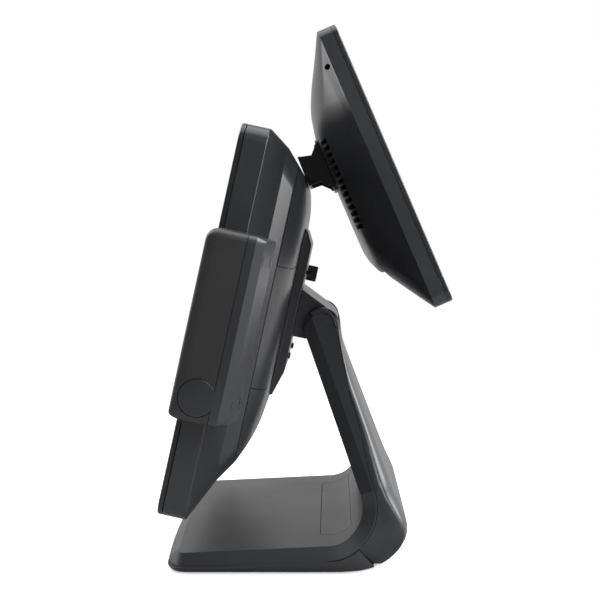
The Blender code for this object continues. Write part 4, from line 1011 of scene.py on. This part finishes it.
def display_knuckle():
    axis = side_view(DISPLAY_AXIS, DISPLAY)
    low, high, half = axis[1] - KNUCKLE_REACH - 1.5, axis[1] + KNUCKLE_REACH + 1.5, ARM_HALF + KNUCKLE_EAR
    rings = [upright_ring(y, -half, half, low, high, 4.0, 6) for y in (KNUCKLE_FACE - 2.25, KNUCKLE_FACE)]
    knuckle = loft("display_knuckle_plate", rings, DISPLAY, POWDER)
    ears = []
    for side in (-1, 1):
        outline = [(-47.5, axis[1] - KNUCKLE_REACH), (-47.5, axis[1] + KNUCKLE_REACH)]
        outline += arc(axis, EAR_RADIUS, 100.0, 260.0, 24)
        ears.append(prism("ear", outline, *sorted((side * (ARM_HALF + 0.5), side * half)), DISPLAY))
    carve(knuckle, *ears, kind="UNION")
    blind = ARM_HALF + 3.1
    carve(knuckle, drill("X", axis, -blind, blind, DISPLAY_PIN_RADIUS + GAP, DISPLAY))
    stand_for(soften(knuckle, 0.5, 35.0), "display", "display_knuckle", slot="black_metal")


DISPLAY_BACK = ((15.0, DISPLAY_HALF, 0.0, DISPLAY_HEIGHT, DISPLAY_CORNER),
                (25.0, 137.0, 15.0, 217.0, 22.0),
                (36.0, 117.0, 32.0, 199.0, 30.0),
                (43.0, 98.0, 41.0, 184.0, 34.0),
                (46.0, 72.0, 54.0, 170.0, 30.0))


def display_ring(depth, half, low, high, radius, inset=0.0):
    return centred_ring(-depth, half, low, high, radius, inset, 1.5)


DISPLAY_FACE = (DISPLAY_HALF, 0.0, DISPLAY_HEIGHT, DISPLAY_CORNER)


def display_bezel():
    def window(depth, grow=0.0):
        return centred_ring(-depth, *DISPLAY_WINDOW, 1.5, -grow)

    rounding = 1.2
    edge = [display_ring(rounding * (1 - sin(t)), *DISPLAY_FACE, rounding * (1 - cos(t))) for t in quarter(5)]
    rings = [display_ring(DISPLAY_EDGE, *DISPLAY_FACE)] + edge
    rings += [window(0.0, 1.4), window(0.4, 0.5), window(1.0), window(2.0)]
    rings += [display_ring(depth, *DISPLAY_FACE, WALL) for depth in (2.0, DISPLAY_EDGE)]
    bezel = loft("display_front_bezel", rings, DISPLAY, GLOSS_PLASTIC, around=True)
    stand_for(even_shading(bezel), "display", "display_bezel")


def display_housing():
    rim = (DISPLAY_EDGE + GAP, *DISPLAY_FACE)
    rows = flowing(DISPLAY_BACK, 8)
    outer = [display_ring(*rim)] + [display_ring(*row) for row in rows]
    inner = [display_ring(*rim, WALL)] + [display_ring(row[0] - 2.2 * min(1.0, k / 16), *row[1:], WALL)
                                          for k, row in enumerate(rows)]
    housing = cup("display_back_housing", outer, inner, DISPLAY)
    tools = []
    for side in (-1, 1):
        across = sorted(side * x for x in VENT_X)
        for k in range(VENTS):
            low = VENT_FIRST + VENT_PITCH * k
            tools.append(block("vent", *across, -50.0, -40.5, low, low + VENT_HIGH, DISPLAY))
    for side in (-1, 1):
        tools.append(drill("X", (-18.5, 205.0), *sorted((side * 138.0, side * 156.0)), 2.2, DISPLAY))
    carve(housing, *tools)
    low, ledge, deep = 8.0, 38.0, 3.4
    outline = [(-52.0, ledge), (-36.4, ledge), (-18.0 + deep, low), (-22.0, low - 4.0), (-52.0, low - 4.0)]
    recess = prism("recess", outline, -92.0, 92.0, DISPLAY)
    stand_for(soften(carve(housing, recess), 0.5, 34.0), "display", "display_rear_housing")


# ---- CAD nodes that stay as they are ----
def dress_nodes():
    slots = {part["node"]: part["material_slot"] for part in frame["record"]["subparts"]}
    for name, node in NODES.items():
        node.data.materials.clear()
        node.data.materials.append(SLOT_LOOKS[slots[name]])
        soften(modify(node, "WELD", merge_threshold=0.00001), 0.25, 35.0, 2)


# ---- floor, lights, camera ----
def floor():
    sides, reach = 96, 2.4
    points = [(reach * cos(2 * pi * k / sides), reach * sin(2 * pi * k / sides), 0.0) for k in range(sides)]
    n = Nodes("pale_floor")
    distance = n.add("ShaderNodeVectorMath", operation="LENGTH")
    n.link(n.coordinates, distance.inputs[0])
    fade = n.ranged(distance.outputs["Value"], 0.55, 1.5, 0.0, 1.0)
    paper = n.mixed(n.noise(6.0, 2.0), (0.90, 0.90, 0.90), (0.93, 0.93, 0.93))
    n.set(Roughness=n.ranged(n.noise(30.0, 3.0), 0.3, 0.7, 0.62, 0.75))
    seen = n.add("ShaderNodeLightPath").outputs["Is Camera Ray"]
    n.set(Base_Color=n.mixed(seen, (0.32, 0.32, 0.32), paper), Emission_Color=(1.0, 1.0, 1.0, 1.0))
    n.set(Emission_Strength=n.ranged(seen, 0.0, 1.0, 0.0, 0.45))
    blend = n.shade_mix(fade, n.shader.outputs[0], n.add("ShaderNodeBsdfTransparent").outputs[0])
    n.link(blend, n.tree.nodes["Material Output"].inputs["Surface"])
    made = mesh_piece("studio_floor", points, [tuple(range(sides))], Matrix.Identity(4), n.material,
                      wound=False)


def studio_world():
    """White for the camera; as light it is bright behind the terminal and dim on the camera's side."""
    world = bpy.data.worlds.new("studio")
    bpy.context.scene.world = world
    n = Tree(world)
    backdrop = n.tree.nodes["Background"]
    backdrop.inputs["Color"].default_value = (1.0, 1.0, 1.0, 1.0)
    split = n.add("ShaderNodeSeparateXYZ")
    n.link(n.add("ShaderNodeTexCoord").outputs["Generated"], split.inputs[0])
    around = n.add("ShaderNodeBackground")
    strength = n.ranged(split.outputs["X"], 0.35, -0.25, 0.14, 0.95, interpolation_type="SMOOTHSTEP")
    n.link(strength, around.inputs["Strength"])
    seen = n.add("ShaderNodeLightPath").outputs["Is Camera Ray"]
    choice = n.shade_mix(seen, around.outputs[0], backdrop.outputs[0])
    n.link(choice, n.tree.nodes["World Output"].inputs["Surface"])


def softbox(name, place, size, power):
    """Rectangular lamp that faces the middle of the terminal."""
    lamp = configured(bpy.data.lights.new(name, "AREA"), shape="RECTANGLE", size=size[0], size_y=size[1],
                      energy=power)
    middle = (Vector(CAD_BOX[0]) + Vector(CAD_BOX[1])) / 2
    turn = (middle - Vector(place)).to_track_quat("-Z", "Y").to_euler()
    configured(in_scene(name, lamp), location=place, rotation_euler=turn, visible_camera=False)


def studio():
    softbox("top_light", (0.1, 0.0, 1.6), (1.6, 1.4), 18.5)
    softbox("customer_side_light", (-0.45, 1.3, 0.85), (1.0, 1.1), 28.0)
    softbox("operator_side_light", (-0.45, -1.2, 1.25), (1.0, 1.0), 15.0)
    softbox("low_operator_light", (-0.1, -1.25, 0.12), (0.9, 0.3), 4.5)
    softbox("camera_side_fill", (1.25, 0.7, 0.95), (0.8, 0.5), 9.0)
    softbox("rear_quarter_strip", (0.95, 1.05, 0.45), (0.22, 0.9), 10.0)
    studio_world()
    floor()
    bpy.context.scene.view_settings.view_transform = "Standard"


CAMERA_AT = (0.940, 0.0231, 0.278)
FOCAL_LENGTH, SHIFT = 62.94, (-0.0533, -0.125)


def camera():
    """Level camera on the reader's side, raised and shifted so that uprights stay upright."""
    lens = configured(bpy.data.cameras.new("camera"), sensor_width=36.0, lens=FOCAL_LENGTH, shift_x=SHIFT[0],
                      shift_y=SHIFT[1], clip_start=0.01)
    made = in_scene("camera", lens)
    bpy.context.scene.camera = configured(made, location=CAMERA_AT, rotation_euler=(pi / 2, 0.0, pi / 2))


dress_nodes()
stand_front_shell()
cable_cover()
column_rear_cover()
base_tray()
front_bezel()
rear_housing()
rear_covers()
hinge_boss()
hinge_hood()
reader_front()
reader_cap()
reader_rear()
small_parts()
arm_bracket()
display_knuckle()
display_bezel()
display_housing()
studio()
camera()
